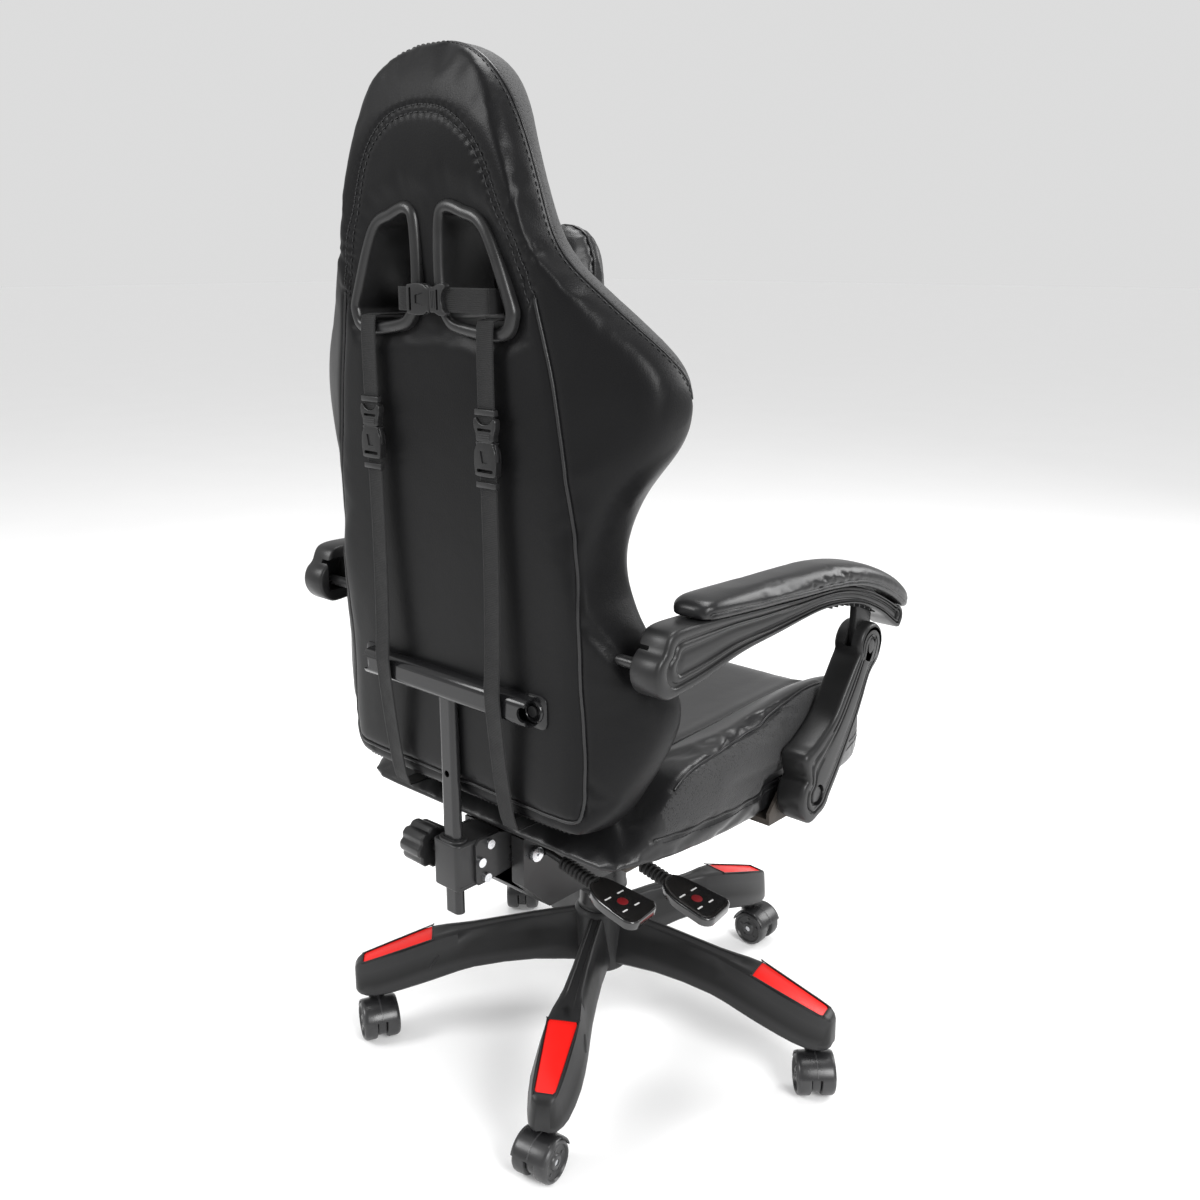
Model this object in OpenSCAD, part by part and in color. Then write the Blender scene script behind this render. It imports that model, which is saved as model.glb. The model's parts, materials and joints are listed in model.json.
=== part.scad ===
/* [Overall] */
// Width of the seat cushion
seat_w = 488; // [400:1:590]
// Height of the backrest shell
back_h = 797; // [660:1:960]
// Distance from the column axis to a caster stem
base_r = 300; // [250:1:360]

/* [Fits] */
// Running clearance on the radius of every pin and bore
fit = 0.05; // [0.02:0.01:0.09]
// Radius of the pressure tube of the column
tube_r = 14; // [11:0.5:17]
// Radius of a caster axle
axle_r = 4; // [3.3:0.1:4.8]
// Radius of a caster stem
stem_r = 5.5; // [4.5:0.1:6.6]
// Radius of the arm pivots
pivot_r = 5; // [4:0.1:6]
// Width of the flat oval upright
upright_w = 25; // [20:1:30]

/* [Wheels] */
// Radius of a caster wheel
wheel_r = 25; // [20:1:26]
// Width of one wheel
wheel_w = 18; // [14:1:22]
// Distance from the stem axis to the axle
trail = 16; // [12:1:20]

/* [Travel] */
// Height travel of the backrest on its upright
back_travel = 15; // [8:1:15]

/* [Hidden] */
$fn = 48;

BLACK = [0.06, 0.06, 0.065];
GREY = [0.2, 0.2, 0.21];
STEEL = [0.62, 0.63, 0.65];
RED = [0.85, 0.06, 0.06];

seat_half = seat_w / 2;
width_scale = seat_w / 488;
arm_in = seat_half + 4.5;
arm_t = 36.5;
arm_out = arm_in + arm_t;

leg_count = 5;
leg_yaw = 48.5;
leg_step = 360 / leg_count;
swivel_yaw = [153, 100, 133, 180, 310];
hub_top = 168;
hub_bore_r = tube_r + 11;

seat_floor = 358;
pan_t = 12;
pan_z = seat_floor - 0.5 - pan_t;

recline_y = 172;
recline_z = 322;
foot_y = -62;
foot_z = 388;
elbow_y = -165;
elbow_z = 548;
stud_y = 212;
stud_z = 606;

upright_y = 252;
upright_d = 13;
back_floor = 398;
back_scale = back_h / 797;
strap_t = 1.6;
strap_w = 24;
strap_x = 90;

// Rows of height, half width, rim front, rim rear and rear panel half width of the backrest
BACK = [
  [398, 185, 170, 226, 176],
  [415, 205, 163, 231, 188],
  [450, 225, 155, 219, 190],
  [500, 248, 145, 204, 190],
  [540, 257, 140, 196, 190],
  [575, 244, 140, 208, 189],
  [640, 210, 153, 237, 187],
  [700, 200, 161, 241, 185],
  [760, 215, 149, 231, 179],
  [820, 255, 138, 207, 173],
  [860, 262, 137, 202, 168],
  [895, 253, 141, 204, 160],
  [950, 200, 165, 232, 146],
  [1000, 155, 190, 260, 128],
  [1070, 130, 199, 267, 104],
  [1130, 109, 199, 264, 76],
  [1165, 86, 201, 261, 56],
  [1184, 58, 206, 257, 38],
  [1195, 22, 216, 249, 14]
];
// Rows of height, front pad depth and rear panel depth
BACK_MID = [
  [398, 174, 243],
  [520, 167, 244],
  [650, 168, 247],
  [800, 173, 252],
  [950, 186, 257],
  [1070, 198, 263],
  [1140, 200, 264],
  [1195, 217, 250]
];
// Rows of depth, half width, centre top and bolster top of the seat
SEAT = [
  [-284, 150, 398, 398],
  [-279, 192, 424, 424],
  [-262, 220, 445, 452],
  [-225, 237, 452, 478],
  [-170, 243, 452, 496],
  [-100, 244, 450, 502],
  [-20, 244, 448, 486],
  [60, 243, 447, 474],
  [120, 236, 440, 458],
  [150, 230, 420, 430],
  [170, 222, 392, 394],
  [190, 214, 379, 379],
  [206, 206, 371, 371],
  [214, 196, 365, 365]
];
// Outline of the right harness opening, half width against height
HARNESS = [[24.5, 1046], [51.5, 1040], [86, 1023], [120, 953], [125, 931], [108, 914], [45, 919],
  [23.5, 930], [12, 959], [13, 1029]];
HARNESS_MID = [68, 980];

function mix(a, b, t) = a + (b - a) * t;
function back_z(z) = back_floor + (z - back_floor) * back_scale;
function row_at(t, z, i = 0) = i >= len(t) - 2 || z < t[i + 1][0] ? i : row_at(t, z, i + 1);
function row_slope(t, c, i) = let(a = max(i - 1, 0), b = min(i + 1, len(t) - 1))
  (t[b][c] - t[a][c]) / (t[b][0] - t[a][0]);
function hermite(p, q, m, n, u) =
  (2 * u ^ 3 - 3 * u ^ 2 + 1) * p + (u ^ 3 - 2 * u ^ 2 + u) * m + (3 * u ^ 2 - 2 * u ^ 3) * q +
    (u ^ 3 - u ^ 2) * n;
// Smooth value of column c of table t at position z
function look(t, c, z) =
  let(i = row_at(t, z), h = t[i + 1][0] - t[i][0], u = min(max((z - t[i][0]) / h, 0), 1))
  hermite(t[i][c], t[i + 1][c], row_slope(t, c, i) * h, row_slope(t, c, i + 1) * h, u);
// A closed outline from its right half, running from the middle rear to the middle front
function mirrored(half) = concat(half, [for (i = [len(half) - 2:-1:1]) [-half[i].x, half[i].y]]);
function inset(points, mid, sx, sy) =
  [for (p = points) [mid.x + (p.x - mid.x) * sx, mid.y + (p.y - mid.y) * sy]];
// Outline of a band of thickness t that follows a route
function route_normal(p, i) = let(a = p[max(i - 1, 0)], b = p[min(i + 1, len(p) - 1)], d = b - a)
  [-d.y, d.x] / norm(d);
function band(p, t) = concat([for (i = [0:len(p) - 1]) p[i] + route_normal(p, i) * t / 2],
  [for (i = [len(p) - 1:-1:0]) p[i] - route_normal(p, i) * t / 2]);
function arc(c, r, a, b, n) = [for (i = [0:n]) c + r * [cos(mix(a, b, i / n)), sin(mix(a, b, i / n))]];

// A closed surface through rings of points that all have the same count
module loft(rings) {
  n = len(rings[0]);
  m = len(rings);
  polyhedron(
    points = [for (r = rings) each r],
    faces = concat(
      [[for (i = [0:n - 1]) i]],
      [[for (i = [n - 1:-1:0]) (m - 1) * n + i]],
      [for (k = [0:m - 2], i = [0:n - 1]) [k * n + i, (k + 1) * n + i, (k + 1) * n + (i + 1) % n]],
      [for (k = [0:m - 2], i = [0:n - 1]) [k * n + i, (k + 1) * n + (i + 1) % n, k * n + (i + 1) % n]]
    )
  );
}
// Extrudes a Y-Z outline from x = a to x = b
module along_x(a, b) {
  translate([a, 0, 0])
    rotate([90, 0, 90])
      linear_extrude(b - a)
        children();
}
// Extrudes an X-Z outline from y = a to y = b
module along_y(a, b) {
  translate([0, b, 0])
    rotate([90, 0, 0])
      linear_extrude(b - a)
        children();
}
// A round bar along X through (y, z)
module bar_x(y, z, r, a, b) {
  translate([a, y, z])
    rotate([0, 90, 0])
      cylinder(r = r, h = b - a);
}
module bar_y(x, z, r, a, b) {
  translate([x, a, z])
    rotate([-90, 0, 0])
      cylinder(r = r, h = b - a);
}
module sides() {
  children();
  mirror([1, 0, 0])
    children();
}
module flat_oval(w, d) {
  square([w - d, d], center = true);
  for (s = [-1, 1])
    translate([s * (w - d) / 2, 0])
      circle(d = d);
}
module ring(r_out, r_in, a, b) {
  translate([0, 0, a])
    difference() {
      cylinder(r = r_out, h = b - a);
      translate([0, 0, -1])
        cylinder(r = r_in, h = b - a + 2);
    }
}

// ---- Base ----
// Rows of reach, half width at the top, half width at the foot of the side, underside, side break and top
LEG = [
  [20, 9, 17, 92, 104, 164],
  [90, 9.5, 19, 99, 112, 157],
  [170, 12, 24, 96, 108, 146],
  [222, 19.5, 29, 84, 98, 138],
  [262, 19, 30, 73, 86, 124],
  [300, 17, 24, 61.5, 72, 112],
  [320, 13, 16, 61.5, 70, 104],
  [325, 8, 9, 64, 71, 98]
];
function leg_reach(r) = r <= 20 ? r : r * base_r / 300;
function leg_ring(row, drop, wall) = let(r = leg_reach(row[0]), t = max(row[1] - wall, 3),
  w = max(row[2] - wall, 4))
  [[r, -w, row[3] - drop], [r, w, row[3] - drop], [r, w, row[4] - drop / 2], [r, t, row[5] - wall],
  [r, -t, row[5] - wall], [r, -w, row[4] - drop / 2]];
module leg_solid(row_count, drop, wall) {
  loft([for (i = [0:row_count - 1]) leg_ring(LEG[i], drop, wall)]);
}
module insert_outline(grow) {
  polygon([[leg_reach(223) - grow, -16 - grow], [leg_reach(227), -17.5 - grow], [leg_reach(311),
    -12 - grow],
    [leg_reach(314) + grow, -9 - grow], [leg_reach(314) + grow, 9 + grow], [leg_reach(311), 12 + grow],
    [leg_reach(227), 17.5 + grow], [leg_reach(223) - grow, 16 + grow]]);
}
// The slanted slab between two heights above the leg's top line, over the insert
module insert_slab(low, high) {
  rise = atan((138 - 108) / (leg_reach(308) - leg_reach(222)));
  translate([leg_reach(222), 0, 138])
    rotate([0, rise, 0])
      translate([-20, -30, low])
        cube([(leg_reach(308) - leg_reach(222)) + 60, 60, high - low]);
}
module each_leg() {
  for (k = [0:leg_count - 1])
    rotate([0, 0, leg_yaw + k * leg_step])
      children();
}
module star_base() {
  color(BLACK)
    difference() {
      union() {
        translate([0, 0, 84])
          cylinder(r = hub_bore_r + 11, h = hub_top - 84);
        each_leg()
          leg_solid(len(LEG), 0, 0);
      }
      translate([0, 0, 88])
        cylinder(r = hub_bore_r + fit, h = 100);
      translate([0, 0, 80])
        cylinder(r = 19, h = 20);
      each_leg()
        translate([base_r, 0, 50])
          cylinder(r = stem_r + fit, h = 48);
      each_leg()
        intersection() {
          translate([0, 0, 60])
            linear_extrude(100)
              insert_outline(0.2);
          insert_slab(-3.2, 20);
        }
    }
}
module leg_inserts() {
  color(RED)
    each_leg()
      intersection() {
        translate([0, 0, 60])
          linear_extrude(100)
            insert_outline(0);
        insert_slab(-3, -0.6);
      }
}

// ---- Column ----
module outer_tube() {
  color(BLACK)
    difference() {
      translate([0, 0, 88])
        cylinder(r = hub_bore_r, h = 132);
      translate([0, 0, 91])
        cylinder(r = hub_bore_r - 2, h = 140);
      translate([0, 0, 80])
        cylinder(r = 8, h = 20);
    }
}
module guide_bush() {
  color(GREY)
    ring(hub_bore_r - 2 - fit, tube_r + fit, 150, 220);
}
module thrust_bearing() {
  color(STEEL)
    ring(13, 5 + fit, 91, 97);
}
module lower_cover() {
  color(BLACK)
    ring(hub_bore_r + 4, hub_bore_r + 1.5, 168.5, 214);
}
module piston_rod() {
  color(STEEL) {
    translate([0, 0, 84])
      cylinder(r = 5, h = 116);
    translate([0, 0, 97 + fit])
      cylinder(r = 10, h = 3);
    translate([0, 0, 200])
      cylinder(r = tube_r - 2 - fit, h = 10);
  }
}
module pressure_tube() {
  color(STEEL)
    difference() {
      translate([0, 0, 112])
        cylinder(r = tube_r, h = 193);
      translate([0, 0, 118])
        cylinder(r = tube_r - 2, h = 162);
      translate([0, 0, 100])
        cylinder(r = 5 + fit, h = 30);
      translate([0, 0, 282])
        cylinder(r = 4.5 + fit, h = 40);
    }
}
module gas_button() {
  color(STEEL)
    translate([0, 0, 292])
      cylinder(r = 4.5, h = 33);
}
module upper_cover() {
  color(BLACK)
    ring(hub_bore_r + 9, hub_bore_r + 6.5, 196, 242.5);
}

// ---- Casters ----
module caster_place(k) {
  rotate([0, 0, leg_yaw + k * leg_step])
    translate([base_r, 0, 0])
      rotate([0, 0, swivel_yaw[k] - leg_yaw - k * leg_step])
        children();
}
module wheel_profile() {
  lip = 4;
  polygon(concat(
    [[axle_r + fit, 0], [wheel_r - 1.5, 0], [wheel_r, 1.5]],
    arc([wheel_r - lip, wheel_w - lip], lip, 0, 90, 6),
    [[wheel_r - 9, wheel_w - 1.5], [axle_r + fit, wheel_w - 1.5]]
  ));
}
module caster_wheels(k) {
  color(GREY)
    caster_place(k)
      translate([trail, 0, wheel_r])
        for (s = [-1, 1])
          rotate([-90 * s, 0, 0])
            translate([0, 0, 6])
              rotate_extrude()
                wheel_profile();
}
module caster_hood(k) {
  reach = wheel_w + 4;
  color(BLACK)
    caster_place(k)
      difference() {
        union() {
          translate([trail, 5.4, wheel_r])
            rotate([90, 0, 0])
              cylinder(r = wheel_r - 4, h = 10.8);
          intersection() {
            translate([trail, reach, wheel_r])
              rotate([90, 0, 0])
                difference() {
                  cylinder(r = wheel_r + 3.4, h = 2 * reach);
                  translate([0, 0, -1])
                    cylinder(r = wheel_r + 1.2, h = 2 * reach + 2);
                }
            translate([trail - 40, -30, wheel_r + 8])
              cube([80, 60, 40]);
          }
          translate([trail - 4, -5.4, wheel_r + 8])
            cube([8, 10.8, wheel_r - 5.5]);
          translate([0, 0, 40])
            cylinder(r = stem_r + 4.5, h = 20.5);
        }
        translate([trail, 20, wheel_r])
          rotate([90, 0, 0])
            cylinder(r = axle_r + fit, h = 40);
        translate([0, 0, 38])
          cylinder(r = stem_r + fit, h = 30);
        for (s = [-1, 1])
          translate([trail, s * (6 + wheel_w / 2), wheel_r])
            rotate([90, 0, 0])
              cylinder(r = wheel_r + 1.2, h = wheel_w + 0.8, center = true);
      }
}
module caster_pins(k) {
  color(STEEL)
    caster_place(k) {
      translate([0, 0, 42])
        cylinder(r = stem_r, h = 52);
      translate([trail, 6 + wheel_w - 2, wheel_r])
        rotate([90, 0, 0])
          cylinder(r = axle_r, h = 2 * (4 + wheel_w));
    }
}

// ---- Mechanism ----
HOUSING = [[190, 345], [190, 285], [148, 243], [-80, 243], [-130, 290], [-130, 345]];
HOUSING_IN = [[187.5, 350], [187.5, 286], [147, 245.5], [-79, 245.5], [-127.5, 291], [-127.5, 350]];
lift_y = 83;
tilt_y = 157;
lever_x = 49;
lever_z = 322;
rod_r = 4;
rod_inner = 18;
barrel_half = 5;
rod_drop = atan(0.2);
module mechanism_housing() {
  color(BLACK)
    difference() {
      union() {
        along_x(-50, 50)
          polygon(HOUSING);
        translate([-68, -110, 342.5])
          cube([136, 240, 2.5]);
      }
      difference() {
        along_x(-47.5, 47.5)
          polygon(HOUSING_IN);
        translate([0, 0, 240])
          cylinder(r = tube_r + 7, h = 60);
      }
      translate([0, 0, 230])
        cylinder(r = tube_r + fit, h = 80);
      translate([-30, 160, 262])
        cube([60, 40, 100]);
      bar_x(recline_y, recline_z, pivot_r + fit, -60, 60);
      for (y = [lift_y, tilt_y])
        translate([-55, y - 6, lever_z - 9])
          cube([10, 12, 18]);
      for (x = [-59, 59], y = [-90, 105])
        translate([x, y, 335])
          cylinder(r = 4 + fit, h = 20);
    }
}
module seat_bolts() {
  color(STEEL)
    for (x = [-59, 59], y = [-90, 105]) {
      translate([x, y, 337])
        cylinder(r = 4, h = pan_z + pan_t - 338);
      translate([x, y, 337.5])
        cylinder(r = 6.5, h = 4.9, $fn = 6);
    }
}
module recline_pin() {
  color(STEEL)
    difference() {
      union() {
        bar_x(recline_y, recline_z, pivot_r, -54, 54);
        for (x = [-56, 51])
          bar_x(recline_y, recline_z, pivot_r + 4, x, x + 5);
      }
      bar_x(recline_y, recline_z, 2, -57, -54);
    }
}
module seat_pan() {
  color(GREY)
    difference() {
      union() {
        translate([-seat_half + 54, -245, pan_z])
          cube([2 * seat_half - 108, 415, pan_t]);
        sides() {
          translate([seat_half - 60, foot_y - 42, pan_z + pan_t - 7])
            cube([61.5, 84, 7]);
          along_x(seat_half - 2.5, seat_half + 1.5)
            polygon(concat([[foot_y - 42, pan_z + pan_t - 7], [foot_y + 42, pan_z + pan_t - 7],
              [foot_y + 42, 366]],
              arc([foot_y, foot_z], 17, 20, 160, 8), [[foot_y - 42, 366]]));
        }
      }
      sides()
        bar_x(foot_y, foot_z, pivot_r + fit, seat_half - 20, seat_half + 20);
      for (x = [-59, 59], y = [-90, 105])
        translate([x, y, 335])
          cylinder(r = 4 + fit, h = 40);
    }
}
function seat_ring(y) = let(w = look(SEAT, 1, y) * width_scale, c = look(SEAT, 2, y), b = look(SEAT, 3,
  y), f = seat_floor,
    s = min(6, (c - f) * 0.3))
  [for (p = mirrored([[0, f], [w * 0.6, f], [w - 8, f], [w - 2, f + s], [w, mix(f, b, 0.5)], [w - 2, b - s],
    [w - 12, b], [w - 30, b - s / 2], [w * 0.72, mix(c, b, 0.3)], [w * 0.6, c], [w * 0.3, c], [0,
    c]])) [p.x, y, p.y]];
ear_room = 19;
module seat_cushion() {
  stations = [-284, -279, -272, -262, -245, -225, -200, -170, -135, -100, -60, -20, 20, 60, 95, 120, 135,
    150, 160, 170, 180,
    190, 199, 206, 214];
  color(BLACK)
    difference() {
      loft([for (y = stations) seat_ring(y)]);
      sides()
        translate([seat_half - 9, foot_y - 50, 340])
          cube([20, 100, foot_z + 30 - 340]);
      sides()
        bar_x(foot_y, foot_z, ear_room, seat_half - 8.8, seat_half + 20);
    }
}
// A lever that leaves the housing at (y, lever_z) and drops a little toward the sitter's right
module lever_frame(y) {
  translate([-lever_x, y, lever_z])
    rotate([0, -rod_drop, 0])
      children();
}
module lever_rod(y, reach) {
  color(STEEL)
    lever_frame(y)
      translate([-reach, 0, 0])
        rotate([0, 90, 0])
          cylinder(r = rod_r, h = reach + rod_inner);
  color(STEEL)
    bar_y(-lever_x, lever_z, rod_r + 1, y - barrel_half, y + barrel_half);
}
module lever_sleeve(y, from, to) {
  pitch = 6;
  ribs = floor((to - from) / pitch);
  color(BLACK)
    lever_frame(y)
      difference() {
        union() {
          translate([-to, 0, 0])
            rotate([0, 90, 0])
              cylinder(r = 6.5, h = to - from);
          for (i = [0:ribs - 1])
            translate([-to + i * pitch + 1.5, 0, 0])
              rotate([0, 90, 0])
                cylinder(r = 9, h = 3);
        }
        translate([-to - 1, 0, 0])
          rotate([0, 90, 0])
            cylinder(r = rod_r + fit, h = to - from + 2);
      }
}
module lever_paddle(y, from) {
  color(BLACK)
    lever_frame(y)
      difference() {
        translate([-from, 0, -6])
          linear_extrude(12)
            polygon(concat([[0, -12]], arc([-62, -14], 12, -90, -180, 6), arc([-66, 16], 12, 180, 90, 6),
              [[-24, 26], [0, 12]]));
        translate([-from - 30, 0, 0])
          rotate([0, 90, 0])
            cylinder(r = rod_r + fit, h = 40);
      }
}
module lift_rod() lever_rod(lift_y, 155);
module lift_sleeve() lever_sleeve(lift_y, 92, 134);
module lift_paddle() lever_paddle(lift_y, 134.2);
module tilt_rod() lever_rod(tilt_y, 110);
module tilt_sleeve() lever_sleeve(tilt_y, 32, 86);
module tilt_paddle() lever_paddle(tilt_y, 86.2);

// ---- Back bracket ----
box_z = 296;
box_top = 354;
knob_z = 332;
BRACKET_BOLTS = [[222, 345], [236, 327], [228, 305]];
module back_bracket() {
  color(BLACK)
    difference() {
      sides()
        along_x(upright_w / 2 + 9.5, upright_w / 2 + 13.5)
          polygon(concat(arc([recline_y, recline_z], 19, 100, 260, 10), [[228, 298], [239, 298], [242,
            304], [242, 348],
            [236, 353], [205, 353]]));
      bar_x(recline_y, recline_z, pivot_r + fit, -60, 60);
      for (b = BRACKET_BOLTS)
        bar_x(b.x, b.y, 3 + fit, -60, 60);
    }
}
module height_box() {
  color(GREY)
    difference() {
      union() {
        translate([-upright_w / 2 - 9.3, 198, box_z])
          cube([upright_w + 18.6, 68, box_top - box_z]);
        translate([0, upright_y, box_top])
          linear_extrude(2)
            flat_oval(upright_w + 10, upright_d + 10);
      }
      translate([0, upright_y, box_z - 1])
        linear_extrude(80)
          flat_oval(upright_w + 0.4, upright_d + 0.4);
      for (b = BRACKET_BOLTS)
        bar_x(b.x, b.y, 3 + fit, -60, 60);
      bar_x(upright_y, knob_z, 4 + fit, 0, 60);
    }
}
module bracket_bolts() {
  half = upright_w / 2 + 13.5;
  color(STEEL)
    for (b = BRACKET_BOLTS) {
      bar_x(b.x, b.y, 3, -half - 3, half + 5);
      bar_x(b.x, b.y, 5.5, -half - 5, -half - 0.05);
      bar_x(b.x, b.y, 5.5, half + 0.05, half + 4.5);
    }
}
knob_gap = 19.5;
module height_knob() {
  start = upright_w / 2 + knob_gap;
  color(BLACK) {
    bar_x(upright_y, knob_z, 4, upright_w / 2 + 0.25, start + 1);
    difference() {
      bar_x(upright_y, knob_z, 26, start, start + 38);
      for (a = [0:45:315])
        translate([start - 1, upright_y, knob_z])
          rotate([a, 0, 0])
            translate([0, 34, 0])
              rotate([0, 90, 0])
                cylinder(r = 11, h = 41);
    }
  }
}

// ---- Backrest ----
module upright_tube() {
  color(BLACK)
    difference() {
      translate([0, upright_y, 262])
        linear_extrude(268)
          flat_oval(upright_w, upright_d);
      translate([0, upright_y, 261])
        linear_extrude(270)
          flat_oval(upright_w - 3, upright_d - 3);
      bar_y(0, 435, 4, upright_y - 20, upright_y + 20);
    }
}
bar_z = 540;
module crossbar() {
  color(BLACK)
    difference() {
      union() {
        along_x(-132 * width_scale, 132 * width_scale)
          polygon(concat([[247.5, bar_z + 16]], arc([256, bar_z + 6], 10, 90, 20, 5), arc([256,
            bar_z - 6], 10, -20, -90, 5),
            [[247.5, bar_z - 16], [247.5, bar_z - 13.5]], arc([255.5, bar_z - 6], 7.5, -90, -20, 5),
            arc([255.5, bar_z + 6], 7.5, 20, 90, 5), [[247.5, bar_z + 13.5]]));
        sides()
          along_y(246, 248.4)
            polygon([for (p = arc([130 * width_scale, bar_z], 16, -180, 180, 24)) p]);
      }
      translate([0, upright_y, 500])
        linear_extrude(31)
          flat_oval(upright_w + 0.4, upright_d + 0.4);
      for (s = [-1, 1])
        bar_y(s * 130 * width_scale, bar_z, 3 + fit, 230, 280);
      for (s = [-1, 1])
        bar_y(s * 130 * width_scale, bar_z, 8, 249, 280);
    }
}
frame_tilt = 2.2;
frame_y = 195;
frame_t = 18;
FRAME_OUT = [[-144, 420], [144, 420], [144, 800], [160, 900], [152, 956], [127, 1040], [98, 1132], [-98,
  1132], [-127, 1040],
  [-152, 956], [-160, 900], [-144, 800]];
FRAME_IN = [[-122, 442], [122, 442], [122, 800], [138, 900], [133, 950], [108, 1034], [84, 1112], [-84,
  1112], [-108, 1034],
  [-133, 950], [-138, 900], [-122, 800]];
function frame_points(p, grow) = [for (q = p) [(q.x + sign(q.x) * grow) * width_scale,
  back_z(q.y) + (q.y > 700 ? grow : -grow)]];
module frame_loop(grow) {
  translate([0, frame_y - grow, 420])
    rotate([-frame_tilt, 0, 0])
      translate([0, 0, -420])
        along_y(0, frame_t + 2 * grow)
          difference() {
            polygon(frame_points(FRAME_OUT, grow));
            polygon(frame_points(FRAME_IN, -grow));
          }
}
module back_frame() {
  color(STEEL)
    difference() {
      frame_loop(0);
      for (s = [-1, 1])
        bar_y(s * 130 * width_scale, bar_z, 3 + fit, 180, 260);
      sides()
        bar_x(stud_y, stud_z, 6 + fit, 100, 200);
    }
}
module back_screws() {
  color(STEEL) {
    for (s = [-1, 1]) {
      bar_y(s * 130 * width_scale, bar_z, 3, 206, 250);
      bar_y(s * 130 * width_scale, bar_z, 6, 248.5, 251.5);
    }
    sides()
      bar_x(stud_y, stud_z, 6, 124 * width_scale, arm_in + 11);
  }
}
function back_ring(z) = let(w = look(BACK, 1, z) * width_scale, f = look(BACK, 2, z), r = look(BACK, 3, z),
    p = look(BACK, 4, z) * width_scale, c = look(BACK_MID, 1, z), m = look(BACK_MID, 2, z), e = min(12,
      (r - f) * 0.2),
    k = min(1, w / 110))
  [for (q = mirrored([[0, m], [p * 0.5, m], [p * 0.96, m - 0.5], [mix(p, w, 0.35), mix(m, r, 0.45)],
    [w - 7 * k, mix(m, r, 0.95)], [w - 1.5 * k, r - e], [w, mix(f, r, 0.5)], [w - 2 * k, f + e],
    [w - 10 * k, f + 2],
    [w - 22 * k, min(f, c) + 1], [mix(w, p * 0.75, 0.6), mix(f, c, 0.55)], [p * 0.6, c], [p * 0.3, c],
    [0, c]]))
    [q.x, q.y, back_z(z)]];
sleeve_y = 192;
function harness_points(d) = [for (p = inset(HARNESS, HARNESS_MID, 1 - d / 56,
  1 - d / 66)) [p.x * width_scale, back_z(p.y)]];
module harness_hole(d, a, b) {
  sides()
    along_y(a, b)
      polygon(harness_points(d));
}
module back_cushion() {
  levels = concat([398, 405, 415, 430], [for (z = [450:26:1126]) z], [1145, 1158, 1169, 1178, 1185, 1191,
    1195]);
  color(BLACK)
    difference() {
      loft([for (z = levels) back_ring(z)]);
      harness_hole(2, 100, 200);
      harness_hole(-0.3, sleeve_y - 0.3, 300);
      frame_loop(0.4);
      for (s = [-1, 1])
        bar_y(s * 130 * width_scale, bar_z, 4, 200, 260, $fn = 16);
      sides()
        bar_x(stud_y, stud_z, 6.6, 130 * width_scale, 300, $fn = 24);
    }
}
module harness_bezels() {
  color(BLACK)
    difference() {
      harness_hole(0, sleeve_y, 265);
      harness_hole(13, 100, 300);
    }
}
// A pillow with centre c and half sizes s. Its sections follow a superellipse, and the middle is lower
// than the ends by the share waist
function pillow_height(u, waist) = (1 - abs(u) ^ 6) ^ (1 / 4) * (1 - waist * cos(90 * min(1,
  abs(u) / 0.8)) ^ 2);
function pillow_ring(c, s, u, waist) = let(k = (1 - abs(u) ^ 3) ^ (1 / 3), q = pillow_height(u, waist))
  [for (i = [0:19]) let(a = i * 18, ca = cos(a), sa = sin(a))
    [c.x + s.x * u, c.y + s.y * k * sign(ca) * abs(ca) ^ 0.7, c.z + s.z * q * sign(sa) * abs(sa) ^ 0.7]];
module pillow(c, s, waist) {
  loft([for (u = [-0.995, -0.97, -0.92, -0.84, -0.7, -0.5, -0.25, 0, 0.25, 0.5, 0.7, 0.84, 0.92, 0.97,
    0.995])
    pillow_ring(c, s, u, waist)]);
}
pillow_z = 958;
lumbar_z = 545;
module head_pillow() {
  color(BLACK)
    pillow([28 * width_scale, 139, back_z(pillow_z)], [146 * width_scale, 43, 76], 0.46);
}
module lumbar_cushion() {
  color(BLACK)
    pillow([0, 122, back_z(lumbar_z)], [150 * width_scale, 38, 80], 0);
}
strap_hole_z = 934;
BUCKLE = [60, 32, 9];
strap_buckle_z = 812;
module buckle_room(grow) {
  sides()
    translate([strap_x * width_scale, 266, back_z(strap_buckle_z)])
      cube([BUCKLE.y + 2 * grow, BUCKLE.z + 2 * grow, BUCKLE.x + 2 * grow], center = true);
  translate([-15, 272, back_z(952)])
    cube([BUCKLE.x + 2 * grow, BUCKLE.z + 2 * grow, BUCKLE.y + 2 * grow], center = true);
}
module lumbar_straps() {
  top = back_z(strap_hole_z);
  route = [[163.5, back_z(lumbar_z)], [163.5, back_z(640)], [167.5, back_z(800)], [179, top - 17], [187,
    top], [262, top],
    [267.5, top - 5], [268.5, back_z(890)], [266.5, back_z(700)], [270, bar_z + 30], [268.2, bar_z],
    [254, back_floor + 20],
    [247.5, back_floor - 2], [244, back_floor - 4], [176, back_floor - 4], [166.5, back_floor + 4], [162,
    450],
    [162.5, back_z(lumbar_z) - 3]];
  color(BLACK)
    difference() {
      sides()
        along_x(strap_x * width_scale - strap_w / 2, strap_x * width_scale + strap_w / 2)
          polygon(band(route, strap_t));
      buckle_room(0.2);
    }
}
module head_strap() {
  post = 36.5 * width_scale;
  rim = -101 * width_scale;
  route = [[post + 5.5, 182.6], [post + 1, 187], [post, 195], [post, 266], [post - 4.5, 270.5], [rim + 6,
    270.5],
    [rim, 266], [rim, 190], [rim + 5, 183.5], [-84 * width_scale, 175.6]];
  color(BLACK)
    difference() {
      translate([0, 0, back_z(952) - 12])
        linear_extrude(24)
          polygon(band(route, strap_t));
      buckle_room(0.2);
    }
}
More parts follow.
